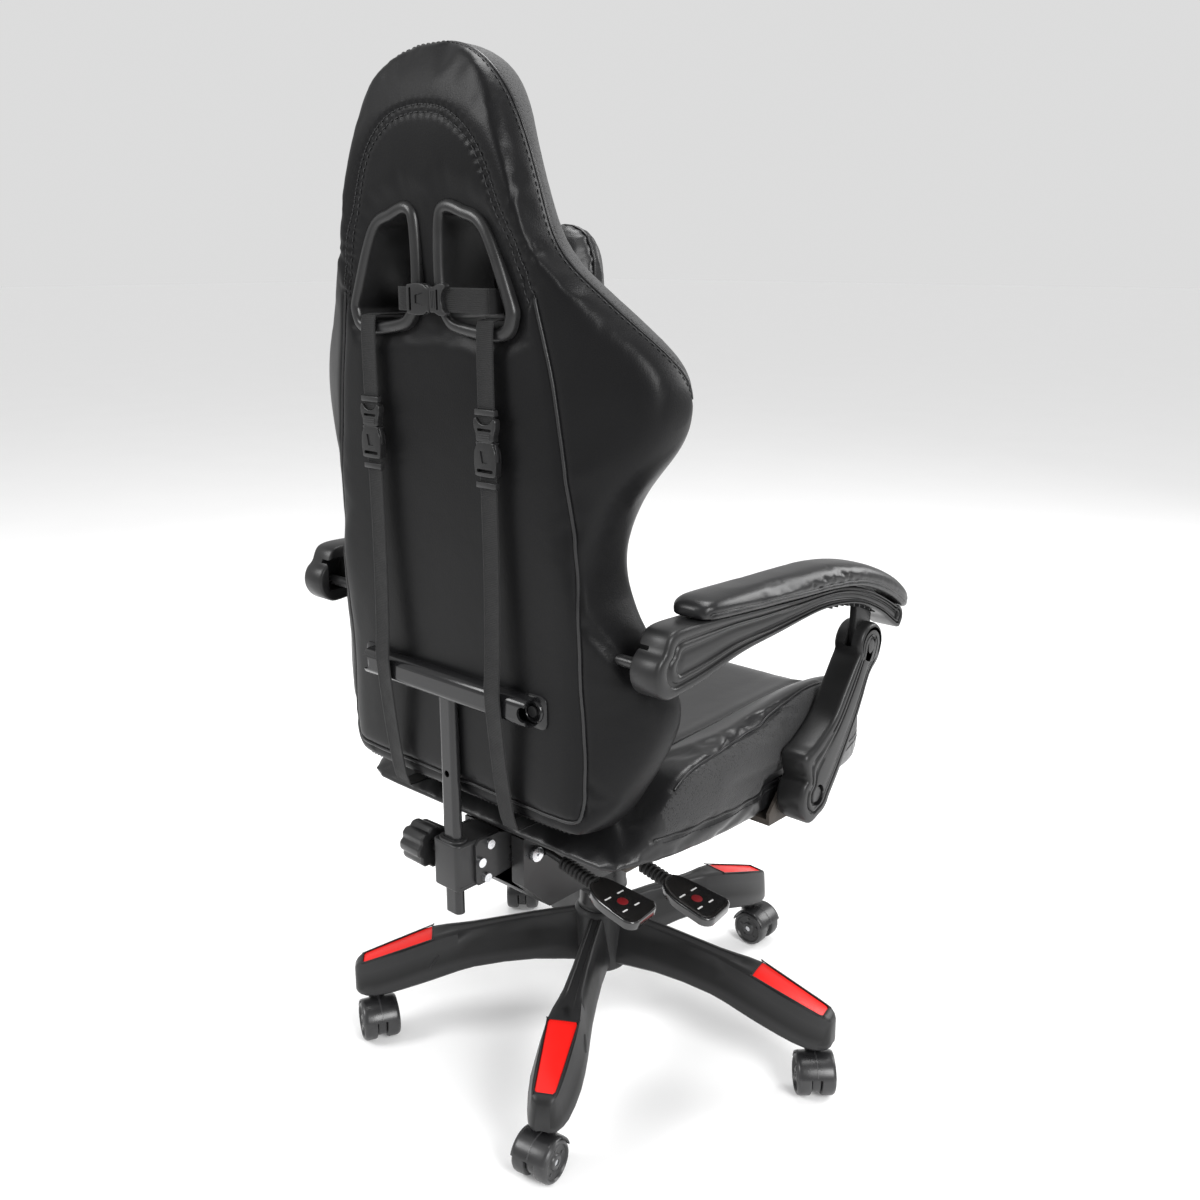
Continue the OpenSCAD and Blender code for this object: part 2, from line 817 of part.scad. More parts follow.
module buckle() {
  difference() {
    union() {
      translate([-BUCKLE.x / 2, -BUCKLE.y / 2, -BUCKLE.z / 2])
        cube([34, BUCKLE.y, BUCKLE.z]);
      translate([5, -BUCKLE.y / 2, -BUCKLE.z / 2 + 1])
        cube([BUCKLE.x / 2 - 5, BUCKLE.y, BUCKLE.z - 2]);
    }
    for (x = [-25, 17, 24])
      translate([x, -12.5, -10])
        cube([3, 25, 20]);
  }
}
module strap_buckles() {
  color(BLACK) {
    sides()
      translate([strap_x * width_scale, 266, back_z(strap_buckle_z)])
        rotate([90, 90, 0])
          buckle();
    translate([-15, 272, back_z(952)])
      rotate([90, 0, 0])
        buckle();
  }
}

// ---- Armrests ----
knuckle_r = 26;
lug_t = 10;
lug_in = arm_in + 13;
BEAM = concat(
  [[170, 649], [104, 644.5], [0, 637.5], [-80, 634], [-120, 628], [-155, 617], [-190, 601], [-222, 584]],
  arc([-222, 569], 15, 80, 250, 6),
  [[-205, 568], [-185, 581], [-150, 598], [-110, 609], [-50, 614], [30, 607], [100, 600], [165, 586],
  [195, 582]],
  arc([208, 606], 26, -80, 60, 6),
  [[212, 647]]
);
STRUT = concat(
  arc([elbow_y, elbow_z], knuckle_r, 190, -15, 12),
  [[-130, 528], [-112, 503], [-90, 474], [-56, 452], [-33, 441]],
  arc([foot_y, foot_z], 35, 50, -70, 8),
  arc([foot_y, foot_z], 28, -100, -160, 4),
  [[-110, 408], [-136, 450], [-151, 480], [-165, 510], [-184, 526]]
);
// Mirrors its children to the left when side is -1; the right arm is on the sitter's right, at -X
module arm_side(side) {
  mirror([side > 0 ? 1 : 0, 0, 0])
    children();
}
module arm_beam(side) {
  color(BLACK)
    arm_side(side)
      difference() {
        union() {
          along_x(arm_in, arm_out)
            polygon(BEAM);
          along_x(lug_in + 0.25, lug_in + lug_t - 0.25)
            polygon(concat(arc([elbow_y, elbow_z], 17, 180, 360, 16), [[elbow_y + 17, 600],
              [elbow_y - 17, 600]]));
        }
        along_x(arm_in - 1, arm_in + 9)
          polygon([[30, 560], [182, 560], [182, 640], [30, 630]]);
        along_x(arm_in - 1, arm_in + 14)
          polygon([[stud_y - 13, stud_z - 11], [stud_y + 13, stud_z - 11], [stud_y + 13,
            stud_z + back_travel + 11],
            [stud_y + 5, stud_z + back_travel + 14], [stud_y - 13, stud_z + back_travel + 14]]);
        bar_x(elbow_y, elbow_z, pivot_r + fit, arm_in - 5, arm_out + 5);
      }
}
module strut(side) {
  color(BLACK)
    arm_side(side)
      difference() {
        along_x(arm_in, arm_out)
          polygon(STRUT);
        along_x(lug_in, lug_in + lug_t)
          polygon(concat(arc([elbow_y, elbow_z], 18, 215, 330, 12), [[elbow_y + 32, elbow_z + 6],
            [elbow_y + 32, 600],
            [elbow_y - 32, 600], [elbow_y - 32, elbow_z - 14]]));
        bar_x(elbow_y, elbow_z, pivot_r + fit, arm_in - 5, arm_out - 4);
        bar_x(foot_y, foot_z, pivot_r + fit, arm_in - 5, arm_out + 5);
        bar_x(foot_y, foot_z, 10, arm_out - 8, arm_out + 5);
      }
}
module elbow_pin(side) {
  color(STEEL)
    arm_side(side)
      bar_x(elbow_y, elbow_z, pivot_r, arm_in + 1, arm_out - 4.2);
}
module strut_bolts() {
  color(STEEL)
    sides() {
      bar_x(foot_y, foot_z, pivot_r, seat_half - 8, arm_out - 8);
      bar_x(foot_y, foot_z, pivot_r + 4, arm_out - 7.95, arm_out - 3);
      bar_x(foot_y, foot_z, pivot_r + 4, seat_half - 7.5, seat_half - 2.6);
    }
}
// Rows of depth, underside, top and half width of the arm pad
PAD = [
  [-247, 578, 590, 14],
  [-242, 577, 600, 22],
  [-228, 583, 611, 27],
  [-200, 599, 628, 30],
  [-160, 617, 645, 31],
  [-120, 629.5, 657, 31],
  [-80, 635.5, 664, 30.5],
  [0, 639.5, 667.5, 30],
  [80, 644, 669, 29.5],
  [140, 648, 671, 29],
  [160, 649.6, 670, 27],
  [170, 651, 665, 20],
  [173, 653, 661, 12]
];
module arm_pad(side) {
  mid = arm_in + 18.5;
  color(BLACK)
    arm_side(side)
      loft([for (y = [-247, -242, -235, -228, -214, -200, -180, -160, -140, -120, -80, -40, 0, 40, 80,
        110, 140, 152, 160, 166,
        170, 173]) let(b = look(PAD, 1, y) + 0.4, t = look(PAD, 2, y), w = look(PAD, 3, y),
          q = (t - b) * 0.3)
          [[mid - w + 3, y, b], [mid + w - 3, y, b], [mid + w, y, b + q], [mid + w - 1, y, t - q],
          [mid + w * 0.75, y, t - 1],
            [mid, y, t], [mid - w * 0.75, y, t - 1], [mid - w + 1, y, t - q], [mid - w, y, b + q]]]);
}

star_base();
leg_inserts();
outer_tube();
guide_bush();
thrust_bearing();
lower_cover();
for (k = [0:leg_count - 1]) {
  caster_hood(k);
  caster_pins(k);
  caster_wheels(k);
}
piston_rod();
pressure_tube();
upper_cover();
mechanism_housing();
seat_pan();
seat_cushion();
seat_bolts();
strut_bolts();
recline_pin();
gas_button();
lift_rod();
lift_sleeve();
lift_paddle();
tilt_rod();
tilt_sleeve();
tilt_paddle();
back_bracket();
height_box();
bracket_bolts();
height_knob();
upright_tube();
crossbar();
back_frame();
back_screws();
back_cushion();
harness_bezels();
head_pillow();
lumbar_cushion();
lumbar_straps();
head_strap();
strap_buckles();
strut(1);  // strut_right
strut(-1);  // strut_left
elbow_pin(1);  // elbow_pin_right
elbow_pin(-1);  // elbow_pin_left
arm_beam(1);  // arm_beam_right
arm_beam(-1);  // arm_beam_left
arm_pad(1);  // arm_pad_right
arm_pad(-1);  // arm_pad_left
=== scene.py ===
import json
import math
import bmesh
import bpy
import numpy as np
from mathutils import Matrix, Vector
from mathutils.bvhtree import BVHTree
from mathutils.kdtree import KDTree


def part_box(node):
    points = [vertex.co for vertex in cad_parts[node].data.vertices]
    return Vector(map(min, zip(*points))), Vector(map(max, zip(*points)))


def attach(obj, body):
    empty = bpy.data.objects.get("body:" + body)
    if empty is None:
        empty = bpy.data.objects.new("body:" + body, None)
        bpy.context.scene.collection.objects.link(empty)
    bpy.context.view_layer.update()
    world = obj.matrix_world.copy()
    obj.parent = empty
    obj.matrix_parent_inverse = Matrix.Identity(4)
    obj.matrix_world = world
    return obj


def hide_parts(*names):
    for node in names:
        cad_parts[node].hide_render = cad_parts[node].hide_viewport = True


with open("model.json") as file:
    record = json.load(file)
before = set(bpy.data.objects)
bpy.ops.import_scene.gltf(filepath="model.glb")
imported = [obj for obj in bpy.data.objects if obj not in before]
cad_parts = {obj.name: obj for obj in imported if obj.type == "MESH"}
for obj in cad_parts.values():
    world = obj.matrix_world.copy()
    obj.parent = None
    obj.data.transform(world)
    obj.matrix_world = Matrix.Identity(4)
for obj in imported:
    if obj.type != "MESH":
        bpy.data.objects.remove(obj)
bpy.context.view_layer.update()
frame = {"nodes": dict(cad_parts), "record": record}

MM = 0.001
scene = bpy.context.scene


# ---- Camera and light ----
def link(name, data):
    made = bpy.data.objects.new(name, data)
    scene.collection.objects.link(made)
    return made


def point_at(obj, place, target):
    obj.location = place
    obj.rotation_euler = (Vector(target) - Vector(place)).to_track_quat("-Z", "Y").to_euler()


def softbox(name, place, target, size, power, shape=1.0):
    light = bpy.data.lights.new(name, "AREA")
    light.shape = "RECTANGLE"
    light.size = size
    light.size_y = size * shape
    light.energy = power
    point_at(link(name, light), place, target)


camera = link("camera", bpy.data.cameras.new("camera"))
point_at(camera, (-0.9866, 1.0950, 0.9947), (0.0026, 0, 0.583))
camera.data.lens = 37.15
camera.data.sensor_width = 36
scene.camera = camera

softbox("key_light", (-2.9, 0.9, 2.2), (0, 0.1, 0.7), 1.1, 95, 1.4)
softbox("rear_light", (1.6, 2.6, 2.6), (0, 0.2, 0.7), 1.3, 70)
softbox("front_light", (-1.4, -2.8, 1.9), (0, 0, 0.6), 1.6, 60)
softbox("top_light", (0.1, -0.3, 3.0), (0, 0, 0.5), 1.2, 60)

world = bpy.data.worlds.new("world")
scene.world = world
world.use_nodes = True
backdrop = world.node_tree.nodes["Background"].inputs
backdrop["Color"].default_value = (1, 1, 1, 1)
backdrop["Strength"].default_value = 0.72
scene.view_settings.view_transform = "Standard"


# ---- Materials ----
def add(tree, kind, inputs=None, **settings):
    node = tree.nodes.new(kind)
    for key, value in settings.items():
        setattr(node, key, value)
    for key, value in (inputs or {}).items():
        if isinstance(value, bpy.types.NodeSocket):
            tree.links.new(value, node.inputs[key])
        else:
            node.inputs[key].default_value = value
    return node


def blend(tree, share, first, second):
    """A colour between two, each given as red, green and blue or as a socket."""
    first, second = (c if isinstance(c, bpy.types.NodeSocket) else (*c, 1) for c in (first, second))
    return add(tree, "ShaderNodeMix", {0: share, 6: first, 7: second}, data_type="RGBA").outputs[2]


def ramp(tree, value, start, end, low=0.0, high=1.0):
    limits = {"Value": value, "From Min": start, "From Max": end, "To Min": low, "To Max": high}
    return add(tree, "ShaderNodeMapRange", limits).outputs[0]


def pattern(tree, place, kind, scale):
    """A height between 0 and 1 for a bump."""
    if kind == "noise":
        return add(tree, "ShaderNodeTexNoise", {"Vector": place, "Scale": scale,
                                                "Detail": 3.0}).outputs["Fac"]
    if kind == "cells":
        return add(tree, "ShaderNodeTexVoronoi", {"Vector": place, "Scale": scale}).outputs["Distance"]
    first, second = {"x": "XZ", "z": "ZX", "y": "YX"}[kind]
    ribs = [add(tree, "ShaderNodeTexWave", {"Vector": place, "Scale": s}, bands_direction=d).outputs["Fac"]
            for d, s in ((first, scale), (second, scale * 0.8))]
    return add(tree, "ShaderNodeMath", {0: ribs[0], 1: ribs[1]}, operation="MULTIPLY").outputs[0]


def finish(name, dark, light, roughness, spread=0.06, clouds=30.0, grain=(), wear=0.0, **shader):
    """A surface whose colour and gloss drift between two values, with layers of bump.
    grain has rows of pattern, scale per metre, strength and depth in mm; wear lightens the edges."""
    material = bpy.data.materials.new(name)
    material.use_nodes = True
    tree = material.node_tree
    surface = tree.nodes["Principled BSDF"]
    for key, value in shader.items():
        surface.inputs[key.replace("_", " ")].default_value = value
    place = add(tree, "ShaderNodeTexCoord").outputs["Object"]
    drift = add(tree, "ShaderNodeTexNoise", {"Vector": place, "Scale": clouds,
                                             "Detail": 5.0}).outputs["Fac"]
    colour = blend(tree, drift, dark, light)
    if wear:
        edge = ramp(tree, add(tree, "ShaderNodeNewGeometry").outputs["Pointiness"], 0.52, 0.62, high=wear)
        colour = blend(tree, edge, colour, [min(1, 2.5 * c + 0.02) for c in light])
    tree.links.new(colour, surface.inputs["Base Color"])
    gloss = ramp(tree, drift, 0.3, 0.7, roughness - spread, roughness + spread)
    tree.links.new(gloss, surface.inputs["Roughness"])
    normal = None
    for kind, scale, strength, depth in grain:
        settings = {"Height": pattern(tree, place, kind, scale), "Strength": strength,
                    "Distance": depth * MM}
        if normal:
            settings["Normal"] = normal
        normal = add(tree, "ShaderNodeBump", settings).outputs["Normal"]
    if normal:
        tree.links.new(normal, surface.inputs["Normal"])
    return material


def mesh_fabric(name, hole, yarn, cell):
    """An open knit: dark holes between rounded yarns."""
    material = finish(name, yarn, tuple(c * 1.7 for c in yarn), 0.75, grain=[("noise", 900, 0.3, 0.3)],
                      Sheen_Weight=0.06, Sheen_Roughness=0.5)
    tree = material.node_tree
    surface = tree.nodes["Principled BSDF"]
    place = tree.nodes["Texture Coordinate"].outputs["Object"]
    cells = add(tree, "ShaderNodeTexVoronoi", {"Vector": place, "Scale": cell}).outputs["Distance"]
    mask = ramp(tree, cells, 0.18, 0.42)
    mixed = blend(tree, mask, hole, surface.inputs["Base Color"].links[0].from_socket)
    tree.links.new(mixed, surface.inputs["Base Color"])
    bump = add(tree, "ShaderNodeBump", {"Height": mask, "Strength": 0.7, "Distance": 0.8 * MM})
    tree.links.new(surface.inputs["Normal"].links[0].from_socket, bump.inputs["Normal"])
    tree.links.new(bump.outputs["Normal"], surface.inputs["Normal"])
    return material


LEATHER_GRAIN = [("noise", 14, 0.25, 3), ("cells", 620, 0.22, 0.35), ("noise", 1500, 0.12, 0.2)]
LEATHER = finish("leatherette", (0.003, 0.003, 0.0033), (0.006, 0.006, 0.0064), 0.38, 0.05, 9,
                 LEATHER_GRAIN, Specular_IOR_Level=0.13)
SEAT_LEATHER = finish("seat_leatherette", (0.006, 0.006, 0.0065), (0.012, 0.012, 0.0125), 0.34, 0.05, 9,
                      LEATHER_GRAIN, Specular_IOR_Level=0.35)
PILLOW_LEATHER = finish("pillow_leatherette", (0.006, 0.006, 0.0065), (0.013, 0.013, 0.0135), 0.42, 0.06,
                        16, LEATHER_GRAIN, Specular_IOR_Level=0.3)
PAD_LEATHER = finish("pad_leatherette", (0.004, 0.004, 0.0045), (0.009, 0.009, 0.0095), 0.33, 0.05, 12,
                     [("cells", 700, 0.15, 0.3), ("noise", 30, 0.2, 1.5)], Specular_IOR_Level=0.3)
KNIT = mesh_fabric("knit_mesh", (0.001, 0.001, 0.001), (0.012, 0.012, 0.0125), 420)
PIPING = finish("piping_leatherette", (0.006, 0.006, 0.0065), (0.014, 0.014, 0.0145), 0.36, 0.05, 60,
                [("cells", 900, 0.2, 0.2)], Specular_IOR_Level=0.35)
THREAD = finish("thread", (0.012, 0.012, 0.013), (0.03, 0.03, 0.031), 0.6, 0.08, 300,
                [("noise", 2500, 0.5, 0.2)], Specular_IOR_Level=0.3)
WEBBING = finish("webbing", (0.003, 0.003, 0.003), (0.009, 0.009, 0.0095), 0.62, 0.08, 60,
                 [("x", 210, 0.8, 0.5), ("noise", 1800, 0.3, 0.2)], Specular_IOR_Level=0.2,
                 Sheen_Weight=0.05)
NYLON = finish("moulded_nylon", (0.005, 0.005, 0.005), (0.010, 0.010, 0.0105), 0.40, 0.05, 20,
               [("noise", 900, 0.18, 0.25), ("noise", 60, 0.08, 1)], 0.3, Specular_IOR_Level=0.25)
ARM_NYLON = finish("arm_nylon", (0.006, 0.006, 0.006), (0.012, 0.012, 0.0125), 0.36, 0.05, 18,
                   [("noise", 1100, 0.16, 0.2), ("noise", 45, 0.06, 1)], 0.3, Specular_IOR_Level=0.28)
CASTER = finish("caster_nylon", (0.008, 0.008, 0.0085), (0.018, 0.018, 0.019), 0.30, 0.06, 40,
                [("noise", 700, 0.15, 0.25)], 0.4, Specular_IOR_Level=0.5)
TYRE = finish("wheel_tread", (0.012, 0.012, 0.0125), (0.026, 0.026, 0.027), 0.38, 0.07, 60,
              [("noise", 600, 0.2, 0.3)], 0.4, Specular_IOR_Level=0.5)
RED = finish("red_plastic", (0.70, 0.010, 0.008), (0.86, 0.016, 0.012), 0.36, 0.05, 24,
             [("noise", 500, 0.1, 0.25)], Specular_IOR_Level=0.3)
BLACK_STEEL = finish("black_powder_coat", (0.005, 0.005, 0.005), (0.011, 0.011, 0.0115), 0.32, 0.06, 30,
                     [("noise", 650, 0.25, 0.3)], 0.25, Specular_IOR_Level=0.35)
GLOSS_STEEL = finish("gloss_powder_coat", (0.004, 0.004, 0.0045), (0.008, 0.008, 0.0085), 0.2, 0.04, 24,
                     [("noise", 420, 0.12, 0.25)], 0.2, Specular_IOR_Level=0.25, Coat_Weight=0.2,
                     Coat_Roughness=0.12)
ZINC = finish("zinc_plate", (0.55, 0.56, 0.58), (0.72, 0.73, 0.75), 0.26, 0.08, 120,
              [("noise", 500, 0.2, 0.1)], Metallic=1.0)
CHROME = finish("polished_chrome", (0.7, 0.71, 0.73), (0.8, 0.81, 0.83), 0.09, 0.03, 80,
                [("noise", 300, 0.03, 0.05)], Metallic=1.0)
SATIN = finish("satin_plastic", (0.005, 0.005, 0.005), (0.011, 0.011, 0.0115), 0.32, 0.05, 40,
               [("noise", 900, 0.15, 0.2)], 0.3, Specular_IOR_Level=0.35)
GLOSS = finish("gloss_plastic", (0.005, 0.005, 0.005), (0.010, 0.010, 0.0105), 0.2, 0.04, 40,
               [("noise", 800, 0.06, 0.15)], 0.2, Coat_Weight=0.4, Coat_Roughness=0.15)
RUBBER = finish("ribbed_rubber", (0.006, 0.006, 0.006), (0.012, 0.012, 0.012), 0.55, 0.07, 60,
                [("noise", 1200, 0.2, 0.2)], Specular_IOR_Level=0.3)
BOX_PLASTIC = finish("box_plastic", (0.008, 0.008, 0.0085), (0.015, 0.015, 0.0155), 0.4, 0.05, 30,
                     [("noise", 1000, 0.18, 0.2)], 0.35, Specular_IOR_Level=0.35)
WOOD = finish("sealed_plywood", (0.02, 0.017, 0.014), (0.05, 0.04, 0.032), 0.7, 0.06, 20,
              [("y", 18, 0.3, 0.6), ("noise", 400, 0.2, 0.3)])
WHITE_INK = finish("white_ink", (0.5, 0.5, 0.5), (0.7, 0.7, 0.7), 0.5, 0.05, 200,
                   [("noise", 2000, 0.1, 0.05)])
RED_INK = finish("red_ink", (0.12, 0.004, 0.007), (0.2, 0.008, 0.011), 0.45, 0.05, 200,
                 [("noise", 2000, 0.1, 0.05)])
FLOOR = finish("floor", (0.84, 0.84, 0.84), (0.87, 0.87, 0.87), 0.8, 0.04, 3, [("noise", 200, 0.05, 0.2)],
               Emission_Color=(1, 1, 1, 1), Emission_Strength=0.10)

SLOT_FINISH = {"nylon": NYLON, "red_plastic": RED, "cover_plastic": SATIN, "caster_plastic": CASTER,
               "wheel_plastic": TYRE, "black_steel": BLACK_STEEL, "bare_steel": ZINC,
               "chromed_steel": CHROME, "bush_plastic": RUBBER, "plywood": WOOD, "webbing": WEBBING,
               "buckle_plastic": SATIN, "bezel_plastic": SATIN, "lever_plastic": GLOSS,
               "sleeve_rubber": RUBBER, "box_plastic": BOX_PLASTIC, "knob_plastic": SATIN,
               "arm_plastic": ARM_NYLON}


# ---- Mesh helpers; shapes are given in millimetres ----
THREAD_LENGTH, THREAD_GAP = 4.5, 2.5
CLOTH_FRAMES = 20


def new_object(name, points, faces):
    mesh = bpy.data.meshes.new(name)
    mesh.from_pydata([Vector(p) * MM for p in points], [], [list(f) for f in faces])
    work = bmesh.new()
    work.from_mesh(mesh)
    bmesh.ops.recalc_face_normals(work, faces=work.faces)
    work.to_mesh(mesh)
    work.free()
    return link(name, mesh)


def bake(obj):
    """Applies the object's modifiers to its mesh."""
    graph = bpy.context.evaluated_depsgraph_get()
    graph.update()
    mesh = bpy.data.meshes.new_from_object(obj.evaluated_get(graph))
    obj.modifiers.clear()
    obj.data = mesh
    return obj


def modify(obj, kind, **settings):
    modifier = obj.modifiers.new(kind.lower(), kind)
    for key, value in settings.items():
        setattr(modifier, key, value)
    return bake(obj)


def bevel(obj, width, segments=2, angle=30):
    return modify(obj, "BEVEL", width=width * MM, segments=segments, limit_method="ANGLE",
                  angle_limit=math.radians(angle), harden_normals=False)


def subdivide(obj, levels=1):
    modify(obj, "SUBSURF", levels=levels)


def relax(obj, rounds):
    modify(obj, "SMOOTH", factor=0.5, iterations=rounds)


def remesh(obj, voxel, rounds):
    """Gives the skin even faces of voxel metres and smooths it."""
    modify(obj, "REMESH", mode="VOXEL", voxel_size=voxel)
    relax(obj, rounds)


def combine(obj, other, operation="DIFFERENCE"):
    """Cuts other from obj, or adds it, and removes other."""
    modify(obj, "BOOLEAN", object=other, operation=operation, solver="EXACT")
    bpy.data.objects.remove(other)
    return obj


def join(name, parts):
    work = bmesh.new()
    for part in parts:
        work.from_mesh(part.data)
    mesh = bpy.data.meshes.new(name)
    work.to_mesh(mesh)
    work.free()
    made = link(name, mesh)
    for part in parts:
        bpy.data.objects.remove(part)
    return made


def shift(x, y, z):
    return Matrix.Translation(Vector((x, y, z)) * MM)


def turn(degrees, axis):
    return Matrix.Rotation(math.radians(degrees), 4, axis)


def place(axis, along, u, v):
    return {"x": (along, u, v), "y": (u, along, v), "z": (u, v, along)}[axis]


def prism_faces(n):
    return [range(n), range(n, 2 * n)] + [(i, (i + 1) % n, n + (i + 1) % n, n + i) for i in range(n)]


def prism(outline, low, high, axis="x"):
    points = [place(axis, t, u, v) for t in (low, high) for u, v in outline]
    return new_object("prism", points, prism_faces(len(outline)))


def box(low, high):
    outline = [(low[1], low[2]), (high[1], low[2]), (high[1], high[2]), (low[1], high[2])]
    return prism(outline, low[0], high[0])


def arc(centre, radius, start, end, count):
    """Points on an arc; two radii make it an oval."""
    rx, ry = radius if isinstance(radius, tuple) else (radius, radius)
    angles = [math.radians(start + (end - start) * i / count) for i in range(count + 1)]
    return [(centre[0] + rx * math.cos(a), centre[1] + ry * math.sin(a)) for a in angles]


def circle(centre, radius, count=32):
    return arc(centre, radius, 0, 360 - 360 / count, count - 1)


def loft(rings, closed=False):
    """A skin through rings of points: closed joins the last to the first, otherwise the ends are capped."""
    n, m = len(rings[0]), len(rings)
    faces = [] if closed else [range(n), range((m - 1) * n, m * n)]
    for k in range(m if closed else m - 1):
        a, b = k * n, (k + 1) % m * n
        faces += [(a + i, b + i, b + (i + 1) % n, a + (i + 1) % n) for i in range(n)]
    return new_object("loft", [p for ring in rings for p in ring], faces)


def lathe(profile, centre, axis, count, start=0.0, sweep=360.0):
    """Turns a closed profile of (radius, place along the axis) about an axis through centre."""
    whole = sweep >= 360
    rings = []
    for i in range(count if whole else count + 1):
        a = math.radians(start + sweep * i / count)
        ring = []
        for radius, along in profile:
            u, v = radius * math.cos(a), radius * math.sin(a)
            ring.append(tuple(c + p for c, p in zip(centre, place(axis, along, u, v))))
        rings.append(ring)
    return loft(rings, closed=whole)


def smooth_path(points, step, closed=False):
    """A Catmull-Rom curve through the points, with points every step mm."""
    p = [np.array(q, float) for q in points]
    n = len(p)
    dense = []
    for i in range(n if closed else n - 1):
        before, a, b = p[i - 1 if closed or i else 0], p[i], p[(i + 1) % n]
        after = p[(i + 2) % n] if closed else p[min(i + 2, n - 1)]
        for j in range(16):
            u = j / 16
            dense.append(0.5 * (2 * a + (b - before) * u + (2 * before - 5 * a + 4 * b - after) * u * u
                                + (3 * a - before - 3 * b + after) * u ** 3))
    dense.append(p[0] if closed else p[-1])
    dense = np.array(dense)
    run = np.concatenate([[0], np.cumsum(np.linalg.norm(np.diff(dense, axis=0), axis=1))])
    count = max(4, int(round(run[-1] / step)))
    at = np.linspace(0, run[-1], count + 1)
    if closed:
        at = at[:-1]
    return np.stack([np.interp(at, run, dense[:, c]) for c in range(dense.shape[1])], axis=1)


def directions(path, closed=False):
    if closed:
        d = np.roll(path, -1, axis=0) - np.roll(path, 1, axis=0)
    else:
        d = np.gradient(path, axis=0)
    return d / np.maximum(np.linalg.norm(d, axis=1, keepdims=True), 1e-9)


def tube(path, radius, normals=None, closed=False, sides=8, flat=1.0):
    """A round or flattened cord along a path; normals say which way is out."""
    ahead = directions(path, closed)
    if normals is None:
        normals = []
        last = np.array([0.0, 0.0, 1.0]) if abs(ahead[0][2]) < 0.9 else np.array([1.0, 0.0, 0.0])
        for d in ahead:
            last = last - d * last.dot(d)
            last = last / np.linalg.norm(last)
            normals.append(last)
    rings = []
    for p, d, up in zip(path, ahead, np.array(normals)):
        side = np.cross(d, up)
        side = side / max(np.linalg.norm(side), 1e-9)
        up = np.cross(side, d)
        angles = [2 * math.pi * k / sides for k in range(sides)]
        rings.append([tuple(p + radius * (side * math.cos(a) + up * flat * math.sin(a))) for a in angles])
    return loft(rings, closed)


def stitches(path, normals, radius):
    """A row of short threads along a dense path."""
    step = np.linalg.norm(path[1] - path[0])
    on, pitch = max(2, int(THREAD_LENGTH / step)), max(3, int((THREAD_LENGTH + THREAD_GAP) / step))
    parts = []
    for start in range(0, len(path) - on, pitch):
        piece, out = path[start:start + on + 1].copy(), normals[start:start + on + 1]
        lift = np.sin(np.linspace(0, math.pi, len(piece)))[:, None] * radius * 1.2
        parts.append(tube(piece + out * lift, radius, out, sides=6))
    return join("stitches", parts)


def tree_of(obj):
    return BVHTree.FromPolygons([v.co for v in obj.data.vertices], [p.vertices for p in obj.data.polygons])


def snap(tree, path, lift=0.0, aim=None):
    """Moves a path onto a surface, and gives the surface's normals there."""
    points, normals = [], []
    for p in path:
        start = Vector(p) * MM
        hit = None
        if aim is not None:
            hit, out, _, _ = tree.ray_cast(start - Vector(aim) * 0.3, Vector(aim))
        if hit is None:
            hit, out, _, _ = tree.find_nearest(start)
        points.append(np.array(hit) / MM)
        normals.append(np.array(out))
    points, normals = np.array(points), np.array(normals)
    if len(points) > 6:
        kernel = np.array([1, 2, 3, 2, 1]) / 9
        for data in (points, normals):
            for c in range(3):
                data[2:-2, c] = np.convolve(data[:, c], kernel, "valid")
    normals /= np.maximum(np.linalg.norm(normals, axis=1, keepdims=True), 1e-9)
    return points + normals * lift, normals


def read(items, what):
    """Three numbers for each vertex or face."""
    flat = np.zeros(len(items) * 3)
    items.foreach_get(what, flat)
    return flat.reshape(-1, 3)


def coordinates(obj):
    return read(obj.data.vertices, "co")


def normals_of(obj):
    return read(obj.data.vertices, "normal")


def move_to(obj, points):
    obj.data.vertices.foreach_set("co", np.ascontiguousarray(points).ravel())
    obj.data.update()


def press(obj, path, width, depth, ripple=0.0, pitch=9.0):
    """Sinks the surface along a path; ripple gathers it into puckers beside the path."""
    tree = KDTree(len(path))
    for i, p in enumerate(path):
        tree.insert(Vector(p) * MM, i)
    tree.balance()
    step = np.linalg.norm(path[1] - path[0])
    points, out = coordinates(obj), normals_of(obj)
    low, high = path.min(axis=0) * MM - 0.04, path.max(axis=0) * MM + 0.04
    near = np.where(np.all((points > low) & (points < high), axis=1))[0]
    for i in near:
        _, at, far = tree.find(points[i])
        far /= MM
        if far > 3 * width:
            continue
        sink = depth * math.exp(-(far / width) ** 2)
        if ripple:
            wave = ripple * math.sin(2 * math.pi * at * step / pitch)
            sink += wave * math.exp(-(far / (width * 1.6)) ** 2)
        points[i] -= out[i] * sink * MM
    move_to(obj, points)


